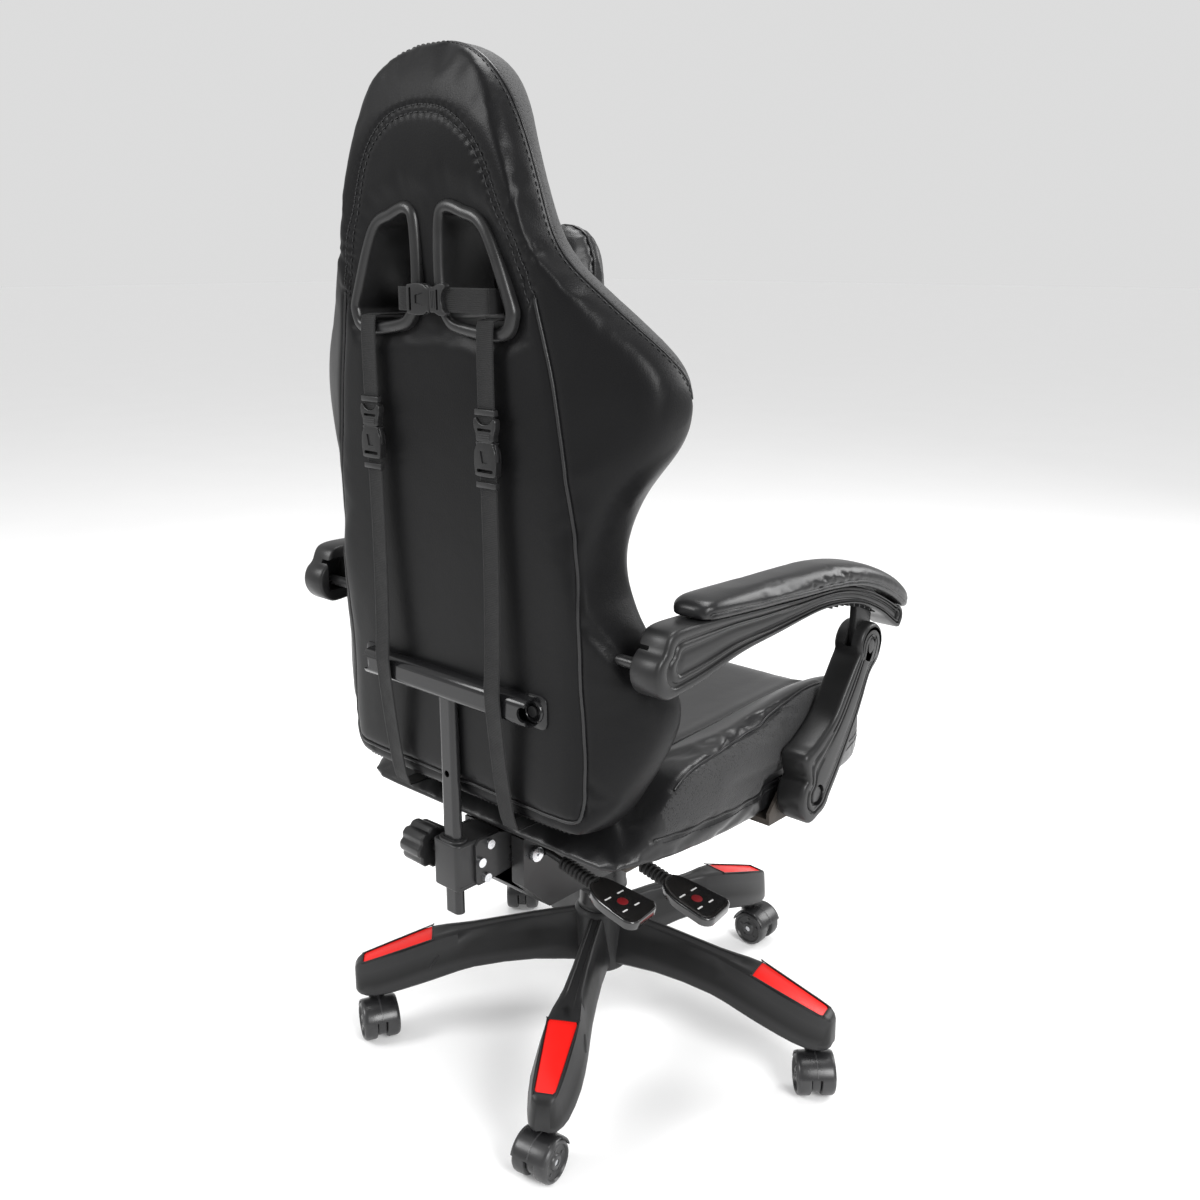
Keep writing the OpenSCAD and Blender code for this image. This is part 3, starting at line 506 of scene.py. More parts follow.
def puff(obj, cap, pressure, slack, held=None):
    """Inflates a closed mesh as cloth. No point moves more than cap mm, and held pins points in place."""
    rest = coordinates(obj)
    cloth = obj.modifiers.new("cloth", "CLOTH")
    settings = cloth.settings
    settings.quality = 4
    settings.mass = 0.25
    settings.tension_stiffness = 22
    settings.compression_stiffness = 22
    settings.shear_stiffness = 9
    settings.bending_stiffness = 0.6
    settings.use_pressure = True
    settings.uniform_pressure_force = pressure
    settings.effector_weights.gravity = 0
    settings.shrink_min = -slack
    cloth.point_cache.frame_start = 1
    cloth.point_cache.frame_end = CLOTH_FRAMES
    if held is not None:
        group = obj.vertex_groups.new(name="held")
        for i in np.where(held > 0.02)[0]:
            group.add([int(i)], float(held[i]), "REPLACE")
        settings.vertex_group_mass = "held"
    for f in range(1, CLOTH_FRAMES + 1):
        scene.frame_set(f)
    graph = bpy.context.evaluated_depsgraph_get()
    moved = read(obj.evaluated_get(graph).data.vertices, "co") - rest
    scene.frame_set(1)
    obj.modifiers.clear()
    obj.vertex_groups.clear()
    size = np.linalg.norm(moved, axis=1, keepdims=True)
    moved *= np.minimum(1, cap * MM / np.maximum(size, 1e-9))
    move_to(obj, rest + np.nan_to_num(moved))
    return obj


def shrink(obj, amount):
    move_to(obj, coordinates(obj) - normals_of(obj) * amount * MM)
    return obj


def settle(obj, body, material, replaced, name, sharp=35):
    """Gives a finished piece its name, finish and body, and hides the parts it replaces."""
    obj.name = obj.data.name = name
    if not obj.data.materials:
        obj.data.materials.append(material)
    obj.data.polygons.foreach_set("use_smooth", [True] * len(obj.data.polygons))
    obj.data.set_sharp_from_angle(angle=math.radians(sharp))
    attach(obj, body)
    if replaced:
        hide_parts(*replaced)
    return obj


def paint_faces(obj, first, second, chosen):
    """Gives the chosen faces the second material and the others the first."""
    obj.data.materials.append(first)
    obj.data.materials.append(second)
    index = np.zeros(len(obj.data.polygons), int)
    index[chosen] = 1
    obj.data.polygons.foreach_set("material_index", index)


def copy_of(obj, name, matrix=Matrix()):
    mesh = obj.data.copy()
    mesh.transform(matrix)
    return link(name, mesh)


def mirror_copy(obj, name):
    made = copy_of(obj, name, Matrix.Scale(-1, 4, (1, 0, 0)))
    made.data.flip_normals()
    return made


def power(value, exponent):
    return math.copysign(abs(value) ** exponent, value)


# ---- Backrest ----
# Rows of height, half width, rim front, rim rear and rear panel half width
BACK = [(398, 185, 170, 226, 176), (415, 205, 163, 231, 188), (450, 225, 155, 219, 190),
        (500, 248, 145, 204, 190), (540, 257, 140, 196, 190), (575, 244, 140, 208, 189),
        (640, 210, 153, 237, 187), (700, 200, 161, 241, 185), (760, 215, 149, 231, 179),
        (820, 255, 138, 207, 173), (860, 262, 137, 202, 168), (895, 253, 141, 204, 160),
        (950, 200, 165, 232, 146), (1000, 155, 190, 260, 128), (1070, 130, 199, 267, 104),
        (1130, 109, 199, 264, 76), (1165, 86, 201, 261, 56), (1184, 58, 206, 257, 38),
        (1195, 22, 216, 249, 14)]
# Rows of height, front pad depth and rear panel depth
BACK_MID = [(398, 174, 243), (520, 167, 244), (650, 168, 247), (800, 173, 252), (950, 186, 257),
            (1070, 198, 263), (1140, 200, 264), (1195, 217, 250)]
# Rows of depth, half width, centre top and bolster top of the seat
SEAT = [(-284, 150, 398, 398), (-279, 192, 424, 424), (-262, 220, 445, 452), (-225, 237, 452, 478),
        (-170, 243, 452, 496), (-100, 244, 450, 502), (-20, 244, 448, 486), (60, 243, 447, 474),
        (120, 236, 440, 458), (150, 230, 420, 430), (170, 222, 392, 394), (190, 214, 379, 379),
        (206, 206, 371, 371), (214, 196, 365, 365)]
SEAT_FLOOR = 358
# The harness opening at +X: its outline and middle in width and height
HARNESS = [(24.5, 1046), (51.5, 1040), (86, 1023), (120, 953), (125, 931), (108, 914), (45, 919),
           (23.5, 930), (12, 959), (13, 1029)]
HARNESS_MID = (68, 980)
BEZEL_INSET = 6.5


def mirrored(line):
    return [(-u, v) for u, v in line]


def look(table, column, at):
    """Smooth value of a column of a table."""
    last = len(table) - 1
    i = max([k for k in range(last) if table[k][0] <= at] or [0])
    gap = table[i + 1][0] - table[i][0]
    u = min(max((at - table[i][0]) / gap, 0), 1)

    def slope(k):
        a, b = table[max(k - 1, 0)], table[min(k + 1, last)]
        return (b[column] - a[column]) / (b[0] - a[0]) * gap
    return ((2 * u ** 3 - 3 * u ** 2 + 1) * table[i][column] + (u ** 3 - 2 * u ** 2 + u) * slope(i)
            + (3 * u ** 2 - 2 * u ** 3) * table[i + 1][column] + (u ** 3 - u ** 2) * slope(i + 1))


def mix(a, b, t):
    return a + (b - a) * t


def both_sides(half):
    return half + mirrored(half[-2:0:-1])


def back_ring(z):
    w, f, r, p = (look(BACK, c, z) for c in (1, 2, 3, 4))
    c, m = look(BACK_MID, 1, z), look(BACK_MID, 2, z)
    e, k = min(12, (r - f) * 0.2), min(1, w / 110)
    half = [(0, m), (p * 0.5, m), (p * 0.96, m - 0.5), (mix(p, w, 0.35), mix(m, r, 0.45)),
            (w - 7 * k, mix(m, r, 0.95)), (w - 1.5 * k, r - e), (w, mix(f, r, 0.5)), (w - 2 * k, f + e),
            (w - 10 * k, f + 2), (w - 22 * k, min(f, c) + 1), (mix(w, p * 0.75, 0.6), mix(f, c, 0.55)),
            (p * 0.6, c), (p * 0.3, c), (0, c)]
    return [(x, y, z) for x, y in both_sides(half)]


def harness_outline(inset):
    sx, sz = 1 - inset / 56, 1 - inset / 66
    return [(HARNESS_MID[0] + (x - HARNESS_MID[0]) * sx, HARNESS_MID[1] + (z - HARNESS_MID[1]) * sz)
            for x, z in HARNESS]


# Where the seam along the backrest's foot runs
FOOT_X = (-168, -90, 0, 90, 168)
# Rows of height and the share of the rim's depth that the mesh strip covers, from the front
RIM_EDGE = [(862, 0.08), (880, 0.28), (910, 0.47), (950, 0.56), (1000, 0.44), (1070, 0.44), (1130, 0.57),
            (1165, 0.68), (1184, 0.7), (1195, 0.7)]


def rim_point(z, t, side=1):
    return (side * look(BACK, 1, z), mix(look(BACK, 2, z), look(BACK, 3, z), t), z)


def build_backrest():
    levels = [398, 405, 415, 430, *range(450, 1131, 20), 1145, 1156, 1165, 1173, 1180, 1186, 1191, 1195]
    shell = loft([back_ring(z) for z in levels])
    subdivide(shell)
    for side in (1, -1):
        combine(shell, prism([(side * x, z) for x, z in harness_outline(BEZEL_INSET)], 100, 300, "y"))
    remesh(shell, 0.0055, 4)
    shrink(shell, 1.0)
    points = coordinates(shell) / MM
    held = np.zeros(len(points))
    for side in (1, -1):
        rim = np.array([(side * x, z) for x, z in smooth_path(harness_outline(BEZEL_INSET), 6, True)])
        for a in range(0, len(points), 4000):
            gap = np.linalg.norm(points[a:a + 4000, None, ::2] - rim[None], axis=2).min(axis=1)
            held[a:a + 4000] = np.maximum(held[a:a + 4000], np.clip((16 - gap) / 8, 0, 1))
    puff(shell, 5.0, 4.0, 0.004, held)
    relax(shell, 2)
    subdivide(shell)

    tree = tree_of(shell)
    rear, front, across = (0, -1, 0), (0, 1, 0), (-126, -60, 0, 60, 126)
    side_line = [(190, 455), (190, 500), (187, 571), (189, 646), (185, 717), (180, 761), (170, 830),
                 (163, 875), (155, 910), (145, 955), (128, 1005), (110, 1038)]
    half = side_line[-3:] + [(101, 1060), (92, 1080), (78, 1101), (58, 1119), (34, 1130), (0, 1134)]
    arch = half + mirrored(half[-2::-1])
    bottom = [(186, 434), (172, 424), (60, 424), (-60, 424), (-172, 424), (-186, 434)]
    loop = side_line[:-2][::-1] + bottom + mirrored(side_line[:-2])
    piping_path, _ = snap(tree, smooth_path([(x, 300, z) for x, z in loop], 4), 0, rear)
    arch_inner = [(x * 0.945, z - 7 * (1 if abs(x) < 70 else 0.6)) for x, z in arch]
    arch_path, inner_path = (snap(tree, smooth_path([(x, 300, z) for x, z in line], 1.5), 0, rear)[0]
                             for line in (arch, arch_inner))
    rim_line = [rim_point(z, t) for z, t in RIM_EDGE] + [rim_point(z, t, -1) for z, t in RIM_EDGE[::-1]]
    rim_path, _ = snap(tree, smooth_path(rim_line, 3))
    foot_path, _ = snap(tree, smooth_path([(x, 300, 407) for x in FOOT_X], 4), 0, rear)
    pad_side = [(128, 430), (134, 520), (136, 640), (132, 760), (136, 850), (130, 900), (112, 960),
                (92, 1030), (80, 1090), (56, 1120), (0, 1132)]
    front_line = pad_side + mirrored(pad_side[-2::-1])
    front_path, _ = snap(tree, smooth_path([(x, 60, z) for x, z in front_line], 3), 0, front)

    for line, *groove in ((piping_path, 5, 2.6), (arch_path, 3, 1.5, 0.7, 10),
                          (inner_path, 3, 1.3, 0.7, 10), (rim_path, 3.2, 1.4), (foot_path, 3, 1.4),
                          (front_path, 6, 3.0)):
        press(shell, line, *groove)
    for z in (690, 742, 794):
        press(shell, snap(tree, smooth_path([(x, 60, z) for x in across], 3), 0, front)[0], 8, 3.5)
    folds = [[(195, 640), (214, 612), (226, 590)], [(196, 470), (214, 452), (224, 440)],
             [(150, 1004), (140, 990), (132, 972)]]
    for fold in folds:
        for side in (1, -1):
            line = smooth_path([(side * x, 300, z) for x, z in fold], 4)
            press(shell, snap(tree, line, 0, rear)[0], 7, 2.2)

    centre, facing = read(shell.data.polygons, "center") / MM, read(shell.data.polygons, "normal")
    knit = []
    for i in np.where(centre[:, 2] > 862)[0]:
        x, y, z = centre[i]
        top = min(z, 1194)
        w, f, r = look(BACK, 1, top), look(BACK, 2, top), look(BACK, 3, top)
        t = (y - f) / (r - f)
        edge = np.interp(z, [row[0] for row in RIM_EDGE], [row[1] for row in RIM_EDGE])
        if t < edge and facing[i][1] > -0.55 and (abs(x) > w - 26 or z > 1180):
            knit.append(i)
    paint_faces(shell, LEATHER, KNIT, knit)
    settle(shell, "back", LEATHER, ["back_cushion"], "backrest_upholstery", 60)

    tree = tree_of(shell)
    for line, lift, radius, flat, name in ((piping_path, 0.6, 2.0, 1.0, "piping"),
                                           (rim_path, 0.3, 1.7, 0.8, "rim_welt"),
                                           (front_path, 0.5, 1.8, 1.0, "front_piping")):
        on, out = snap(tree, line, lift)
        settle(tube(on, radius, out, flat=flat), "back", PIPING, (), "backrest_" + name, 60)
    hem = smooth_path([(x, 300, 409) for x in FOOT_X], 1.5)
    beside_rim = smooth_path(rim_line, 1.5) + np.array([0, 7, 0])
    rows = [stitches(*snap(tree, line, 0.1, aim), radius) for line, aim, radius in (
        (arch_path, None, 0.5), (inner_path, None, 0.5), (hem, rear, 0.45), (beside_rim, None, 0.45))]
    settle(join("stitches", rows), "back", THREAD, (), "backrest_stitching", 60)


def build_bezels():
    parts = []
    for side in (1, -1):
        base = smooth_path([(side * x, z) for x, z in harness_outline(BEZEL_INSET)], 3, True)
        ahead = directions(base, True)
        out = np.stack([ahead[:, 1], -ahead[:, 0]], axis=1)
        middle = np.array([side * HARNESS_MID[0], HARNESS_MID[1]])
        if ((base - middle) * out).sum() < 0:
            out = -out
        section = [(-6.3, 192), (-6.3, 258), (-5.6, 262), (-3.6, 264.4), (-1, 265.2), (3.4, 264.6),
                   (6, 262.5), (7.0, 259.5), (6.8, 254.5), (0, 254.3), (-0.4, 253), (-0.5, 193),
                   (-3, 191.5)]
        parts.append(loft([[(p[0] + n[0] * d, y, p[1] + n[1] * d) for p, n in zip(base, out)]
                           for d, y in section], closed=True))
    settle(join("bezels", parts), "back", SATIN, ["harness_bezels"],
           "harness_bezel_pair", 50)


# ---- Pillows ----
def build_pillow(name, node, sag, waist):
    low, high = (np.array(c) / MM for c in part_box(node))
    mid, half = (low + high) / 2, (high - low) / 2 - np.array([4, 4, 4])

    def narrow(u):
        return 1 - waist * math.cos(math.pi / 2 * min(1, abs(u) / 0.8)) ** 2

    rings = []
    for k in range(25):
        u = -0.995 + 1.99 * k / 24
        thick = (1 - abs(u) ** 3) ** (1 / 3)
        tall = (1 - abs(u) ** 6) ** 0.25
        ring = []
        for i in range(32):
            a = 2 * math.pi * i / 32
            ring.append((mid[0] + half[0] * u, mid[1] + half[1] * thick * power(math.cos(a), 1.1),
                         mid[2] + half[2] * tall * narrow(u) * power(math.sin(a), 0.75)))
        rings.append(ring)
    pillow = loft(rings)
    remesh(pillow, 0.005, 3)
    puff(pillow, sag, 4.0, 0.05)
    subdivide(pillow)
    move_to(pillow, np.clip(coordinates(pillow), low * MM + 0.0004, high * MM - 0.0004))
    tree = tree_of(pillow)
    ring = []
    for i in range(60):
        a = 2 * math.pi * i / 60
        u, v = power(math.cos(a), 0.45), power(math.sin(a), 0.45)
        ring.append((mid[0] + 1.1 * half[0] * u, mid[1], mid[2] + 1.1 * half[2] * narrow(u) * v))
    seam, _ = snap(tree, smooth_path(ring, 3, True))
    press(pillow, seam, 5, 2.4, 0.8, 14)
    if waist:
        for k in range(-4, 5):
            x = mid[0] + 9 * k
            for face in (1, -1):
                line = [(x + (x - mid[0]) * 1.1 * abs(t), mid[1] + face * 60, mid[2] + 40 * t)
                        for t in (-1, -0.4, 0.4, 1)]
                press(pillow, snap(tree, smooth_path(line, 3), 0, (0, -face, 0))[0], 4.5, 2.2)
    settle(pillow, "back", PILLOW_LEATHER, [node], name, 60)
    seam, out = snap(tree_of(pillow), seam, 0.4)
    settle(tube(seam, 1.8, out, closed=True), "back", PIPING, (), name + "_piping", 60)


# ---- Seat ----
def seat_ring(y):
    w, c, b = (look(SEAT, k, y) for k in (1, 2, 3))
    s = min(6, (c - SEAT_FLOOR) * 0.3)
    half = [(0, SEAT_FLOOR), (w * 0.6, SEAT_FLOOR), (w - 8, SEAT_FLOOR), (w - 2, SEAT_FLOOR + s),
            (w, mix(SEAT_FLOOR, b, 0.5)), (w - 2, b - s), (w - 12, b), (w - 30, b - s / 2),
            (w * 0.72, mix(c, b, 0.3)), (w * 0.6, c), (w * 0.3, c), (0, c)]
    return [(x, y, z) for x, z in both_sides(half)]


def skirt_height(y):
    return mix(398, 392, (y + 255) / 400)


def build_seat():
    stations = [-284, -279, -272, -262, -245, -225, -200, -170, -135, -100, -60, -20, 20, 60, 95, 120, 135,
                150, 160, 170, 180, 190, 199, 206, 214]
    cushion = loft([seat_ring(y) for y in stations])
    subdivide(cushion)
    for side in (1, -1):
        low, high = sorted((side * 235.5, side * 260))
        combine(cushion, box((low, -111, 340), (high, -13, 417)))
    remesh(cushion, 0.006, 3)
    shrink(cushion, 1.5)
    points = coordinates(cushion) / MM
    held = np.clip((372 - points[:, 2]) / 12, 0, 1)
    pocket = (np.abs(points[:, 0]) > 228) & (np.abs(points[:, 1] + 62) < 58) & (points[:, 2] < 424)
    held = np.maximum(held, pocket * 1.0)
    puff(cushion, 6.0, 4.0, 0.006, held)
    subdivide(cushion)
    tree = tree_of(cushion)
    top_line = [(150, 158), (158, 90), (160, 0), (158, -110), (154, -200), (146, -252)]
    loop = top_line + mirrored(top_line[::-1])
    inner, _ = snap(tree, smooth_path([(x, y, 600) for x, y in loop], 4), 0, (0, 0, -1))
    brow, skirt = [], []
    for side in (1, -1):
        top = [(side * (look(SEAT, 1, y) - 9), y, look(SEAT, 3, y) - 3) for y in range(-255, 141, 15)]
        low = [(side * look(SEAT, 1, y), y, skirt_height(y)) for y in range(-255, 166, 15)]
        brow.append(snap(tree, smooth_path(top, 4))[0])
        skirt.append(snap(tree, smooth_path(low, 4))[0])
    press(cushion, inner, 7, 3.5)
    for line in brow + skirt:
        press(cushion, line, 4, 2.0)
    for side in (1, -1):
        for fold in ([(60, 394), (96, 388), (130, 372)], [(84, 398), (118, 384), (150, 376)],
                     [(20, 390), (40, 380), (66, 366)], [(120, 396), (150, 386), (172, 372)]):
            line = smooth_path([(side * look(SEAT, 1, y), y, z) for y, z in fold], 4)
            press(cushion, snap(tree, line)[0], 6, 2.4)

    centre = read(cushion.data.polygons, "center") / MM
    knit = []
    for i in np.where(np.abs(centre[:, 0]) > 200)[0]:
        x, y, z = centre[i]
        if -252 < y < 150 and abs(x) > look(SEAT, 1, y) - 9 and skirt_height(y) < z < look(SEAT, 3, y) - 3:
            knit.append(i)
    paint_faces(cushion, SEAT_LEATHER, KNIT, knit)
    settle(cushion, "seat", SEAT_LEATHER, ["seat_cushion"], "seat_upholstery", 60)
    tree = tree_of(cushion)
    lines = [(inner, 1.8)] + [(line, 1.6) for line in brow + skirt]
    for k, (line, radius) in enumerate(lines):
        on, out = snap(tree, line, 0.4)
        settle(tube(on, radius, out), "seat", PIPING, (), "seat_welt_%d" % (k + 1), 60)
    rows = []
    for line in brow + skirt:
        below = smooth_path(line[::4] - np.array([0, 0, 6]), 1.5)
        rows.append(stitches(*snap(tree, below, 0.1), 0.45))
    settle(join("stitches", rows), "seat", THREAD, (), "seat_stitching", 60)


# ---- Straps and buckles ----
WEB_WIDTH, BAR_Z = 24, 540


def band(route, width, axis, step=4):
    """Flat webbing 1.6 mm thick that follows a route of points, with a raised edge on both sides."""
    line = smooth_path(route, step)
    ahead = directions(line)
    across = np.array({"x": (1, 0, 0), "z": (0, 0, 1)}[axis], float)
    rings = []
    for p, d in zip(line, ahead):
        up = np.cross(d, across)
        up = up / max(np.linalg.norm(up), 1e-9)
        section = [(-1, 0), (-0.97, 0.5), (-0.86, 0.8), (-0.8, 0.6), (0, 0.66), (0.8, 0.6), (0.86, 0.8),
                   (0.97, 0.5), (1, 0), (0.97, -0.5), (0.86, -0.8), (0.8, -0.6), (0, -0.66), (-0.8, -0.6),
                   (-0.86, -0.8), (-0.97, -0.5)]
        rings.append([tuple(p + across * u * width / 2 + up * v) for u, v in section])
    return loft(rings)


def rounded(width, height, radius, count=5):
    """A rectangle about the origin with rounded corners."""
    w, h = width / 2 - radius, height / 2 - radius
    return (arc((w, h), radius, 0, 90, count) + arc((-w, h), radius, 90, 180, count)
            + arc((-w, -h), radius, 180, 270, count) + arc((w, -h), radius, 270, 360, count))


def shifted(outline, du, dv):
    return [(u + du, v + dv) for u, v in outline]


def drill(obj, centre, radius, low, high, axis="x", count=32):
    combine(obj, prism(circle(centre, radius, count), low, high, axis))


def build_buckle():
    """A side-release buckle along X, 60 by 32 by 9 mm, facing +Z."""
    half = [(-29, 12), (-25, 14.5), (-14, 15.6), (-4, 14.6), (2, 11.5), (5, 12)]
    body = prism(smooth_path(half + [(x, -y) for x, y in half[::-1]], 2, True), -4.4, 4.4, "z")
    bevel(body, 1.6, 3, 40)
    combine(body, prism(shifted(rounded(3.4, 23, 1.5), -23.5, 0), -10, 10, "z"))
    combine(body, prism([(-16, -4), (-4, -6.5), (-4, 6.5), (-16, 4)], 3.2, 10, "z"))
    for s in (1, -1):
        combine(body, prism([(-15, s * 19), (-13, s * 11.6), (-2, s * 11.6), (0, s * 19)], -2.2, 2.2, "z"))
    half = [(5.4, 10.5), (12, 12.5), (20, 15.4), (27, 15.2), (28.6, 12.5), (24.6, 8.5), (22.4, 3.5)]
    male = prism(smooth_path(half + [(x, -y) for x, y in half[::-1]], 2, True), -3.6, 4.0, "z")
    bevel(male, 1.3, 3, 40)
    combine(male, prism(shifted(rounded(2.8, 20, 1.3), 17, 0), -10, 10, "z"))
    prongs = [prism([(-17, s * 13.6), (-13, s * 15.2), (-4, s * 14.6), (5, s * 12), (5, s * 9),
                     (-12, s * 11)], -1.8, 1.8, "z") for s in (1, -1)]
    ribs = [box((7.5 + 2.2 * k, -8, 3.6), (8.6 + 2.2 * k, 8, 4.4)) for k in range(3)]
    return join("buckle", [body, male] + [bevel(p, 0.6, 2) for p in prongs] + ribs)


def build_straps():
    """The two lumbar loops at x either side, the pillow's strap, and the three buckles."""
    x, top, floor, bar, buckle_z, pillow_z = 90, 934, 398, BAR_Z, 812, 952
    route = [(163.5, 545), (163.5, 640), (167.5, 800), (179, top - 17), (187, top - 1), (200, top),
             (250, top), (262, top - 0.5), (267.5, top - 6), (268.5, 890), (268, 812), (266.5, 700),
             (268, 600), (270.4, bar + 20), (269.6, bar), (262, 470), (254, floor + 20), (248, floor),
             (243, floor - 3.6), (200, floor - 4), (178, floor - 3.6), (166.5, floor + 4), (162, 450),
             (162.5, 541)]
    parts = [band([(s * x, y, z) for y, z in route], WEB_WIDTH, "x") for s in (1, -1)]
    settle(join("straps", parts), "back", WEBBING, ["lumbar_straps"], "lumbar_webbing", 50)
    pillow_route = [(42, 182.6), (38, 187), (36.7, 195), (36.5, 262), (35, 268), (30, 270.6), (0, 270.7),
                    (-60, 270.7), (-94, 270.6), (-99.5, 269), (-101, 264), (-101, 190), (-96, 183.5),
                    (-84, 175.6)]
    strap = band([(u, v, pillow_z) for u, v in pillow_route], WEB_WIDTH, "z", 3)
    settle(strap, "back", WEBBING, ["head_strap"], "pillow_webbing", 50)
    facing_back = turn(180, "Z") @ turn(90, "X")
    spots = [shift(s * x, 268, buckle_z) @ facing_back @ turn(90, "Z") for s in (1, -1)]
    spots.append(shift(-15, 273, pillow_z) @ facing_back)
    source = build_buckle()
    made = [copy_of(source, "buckle", spot) for spot in spots]
    bpy.data.objects.remove(source)
    keepers = [bevel(box((s * x - 14, 265.6, z - 3), (s * x + 14, 271.6, z + 3)), 0.8)
               for s in (1, -1) for z in (774, 846)]
    settle(join("buckles", made + keepers), "back", SATIN, ["strap_buckles"],
           "side_release_buckles", 40)


# ---- Armrests ----
# Outlines and pivots are pairs of depth and height
BEAM_TOP = [(170, 649), (104, 644.5), (0, 637.5), (-80, 634), (-120, 628), (-155, 617), (-190, 601),
            (-222, 584)]
BEAM_UNDER = [(-205, 568), (-185, 581), (-150, 598), (-110, 609), (-50, 614), (30, 607), (100, 600),
              (165, 586), (195, 582)]
ELBOW, FOOT, STUD = (-165, 548), (-62, 388), (212, 606)
ARM_IN, ARM_OUT = 248.5, 285


def nested(outline, spine, share):
    """The outline drawn in towards a spine by a share of the local thickness."""
    spine = smooth_path(spine, 2)
    moved = []
    for p in outline:
        gaps = np.linalg.norm(spine - p, axis=1)
        moved.append(tuple(mix(np.array(p), spine[gaps.argmin()], share)))
    return np.array(moved)


def relief(outline, spine, rows):
    """A solid along X from rows of place and inset share."""
    return loft([[(x, y, z) for y, z in nested(outline, spine, share)] for x, share in rows])


def build_beam():
    outline = (BEAM_TOP + arc((-222, 569), 15, 80, 250, 6) + BEAM_UNDER + arc(STUD, 26, -80, 60, 6)
               + [(212, 647)])
    outline = smooth_path(outline, 3.5, True)
    spine = [(-219, 573), (-190, 590.5), (-150, 607), (-110, 618), (-60, 624), (0, 622.5), (60, 621),
             (110, 621.5), (150, 617), (188, 614)]
    rows = [(ARM_IN, 0.07), (ARM_IN + 1.2, 0.025), (ARM_IN + 3, 0), (ARM_OUT - 5, 0), (ARM_OUT - 2.5, 0.02),
            (ARM_OUT - 0.8, 0.06), (ARM_OUT, 0.13), (ARM_OUT, 0.27), (ARM_OUT - 0.5, 0.3),
            (ARM_OUT - 2.8, 0.33), (ARM_OUT - 3.0, 0.42), (ARM_OUT - 1.2, 0.46), (ARM_OUT - 0.7, 0.5),
            (ARM_OUT - 0.8, 0.57), (ARM_OUT - 1.4, 0.6), (ARM_OUT - 3.6, 0.64), (ARM_OUT - 4.0, 0.72),
            (ARM_OUT - 3.4, 0.78), (ARM_OUT - 3.2, 0.93)]
    beam = relief(outline, spine, rows)
    lug = prism(arc(ELBOW, 17, 180, 360, 20) + [(ELBOW[0] + 17, 600), (ELBOW[0] - 17, 600)],
                ARM_IN + 13.25, ARM_IN + 22.75)
    bevel(lug, 1.0)
    combine(beam, lug, "UNION")
    combine(beam, prism([(30, 560), (182, 560), (182, 640), (30, 630)], ARM_IN - 1, ARM_IN + 9))
    combine(beam, prism([(199, 595), (225, 595), (225, 632), (217, 635), (199, 635)],
                        ARM_IN - 1, ARM_IN + 14))
    drill(beam, ELBOW, 5.05, ARM_IN - 5, ARM_OUT + 5)
    ribs = []
    for k in range(9):
        y = -178 + 12 * k
        z = np.interp(y, [-222, -190, -150, -110, -50], [571, 583.5, 600, 610.5, 615])
        ribs.append(box((ARM_IN + 6, y - 1, z - 4.5), (ARM_OUT - 7, y + 1, z + 3)))
    return join("beam", [beam] + ribs)


def build_strut():
    outline = (arc(ELBOW, 26, 190, -15, 12) + [(-130, 528), (-112, 503), (-90, 474), (-56, 452), (-33, 441)]
               + arc(FOOT, 35, 50, -70, 8) + arc(FOOT, 28, -100, -160, 4)
               + [(-110, 408), (-136, 450), (-151, 480), (-165, 510), (-184, 526)])
    outline = smooth_path(outline, 3.5, True)
    spine = [(-162, 545), (-148, 512), (-132, 485), (-112, 458), (-92, 432), (-74, 408), (-60, 390)]
    rows = [(ARM_IN, 0.07), (ARM_IN + 1.5, 0.02), (ARM_IN + 4, 0), (ARM_OUT - 6, 0), (ARM_OUT - 3, 0.025),
            (ARM_OUT - 1, 0.07), (ARM_OUT, 0.15), (ARM_OUT, 0.3), (ARM_OUT - 2.6, 0.345),
            (ARM_OUT - 2.7, 0.39), (ARM_OUT - 0.3, 0.43), (ARM_OUT, 0.46), (ARM_OUT, 0.52),
            (ARM_OUT - 0.3, 0.55), (ARM_OUT - 2.6, 0.59), (ARM_OUT - 2.7, 0.635), (ARM_OUT - 0.2, 0.68),
            (ARM_OUT, 0.72), (ARM_OUT, 0.93)]
    strut = relief(outline, spine, rows)
    notch = arc(ELBOW, 18, 215, 330, 14) + [(ELBOW[0] + 32, ELBOW[1] + 6), (ELBOW[0] + 32, 600),
                                            (ELBOW[0] - 32, 600), (ELBOW[0] - 32, ELBOW[1] - 14)]
    combine(strut, prism(notch, ARM_IN + 13, ARM_IN + 23))
    drill(strut, ELBOW, 5.05, ARM_IN - 5, ARM_OUT - 4)
    drill(strut, FOOT, 5.05, ARM_IN - 5, ARM_OUT + 5)
    slot = [(FOOT[0] + u, FOOT[1] + v) for u, v in arc((0, 0), (10.5, 13), 0, 345, 23)]
    combine(strut, prism(slot, ARM_OUT - 8, ARM_OUT + 5))
    cap = lathe([(0.5, ARM_OUT - 4.5), (23.5, ARM_OUT - 4.5), (24.2, ARM_OUT - 3), (23.5, ARM_OUT - 0.8),
                 (21, ARM_OUT), (0.5, ARM_OUT)], (0, ELBOW[0], ELBOW[1]), "x", 48)
    oval = [(ELBOW[0] + u * 0.94 - v * 0.34, ELBOW[1] + 1 + u * 0.34 + v * 0.94)
            for u, v in arc((0, 0), (7, 12), 0, 345, 23)]
    combine(cap, prism(oval, ARM_OUT - 2.2, ARM_OUT + 5))
    return join("strut", [strut, cap])


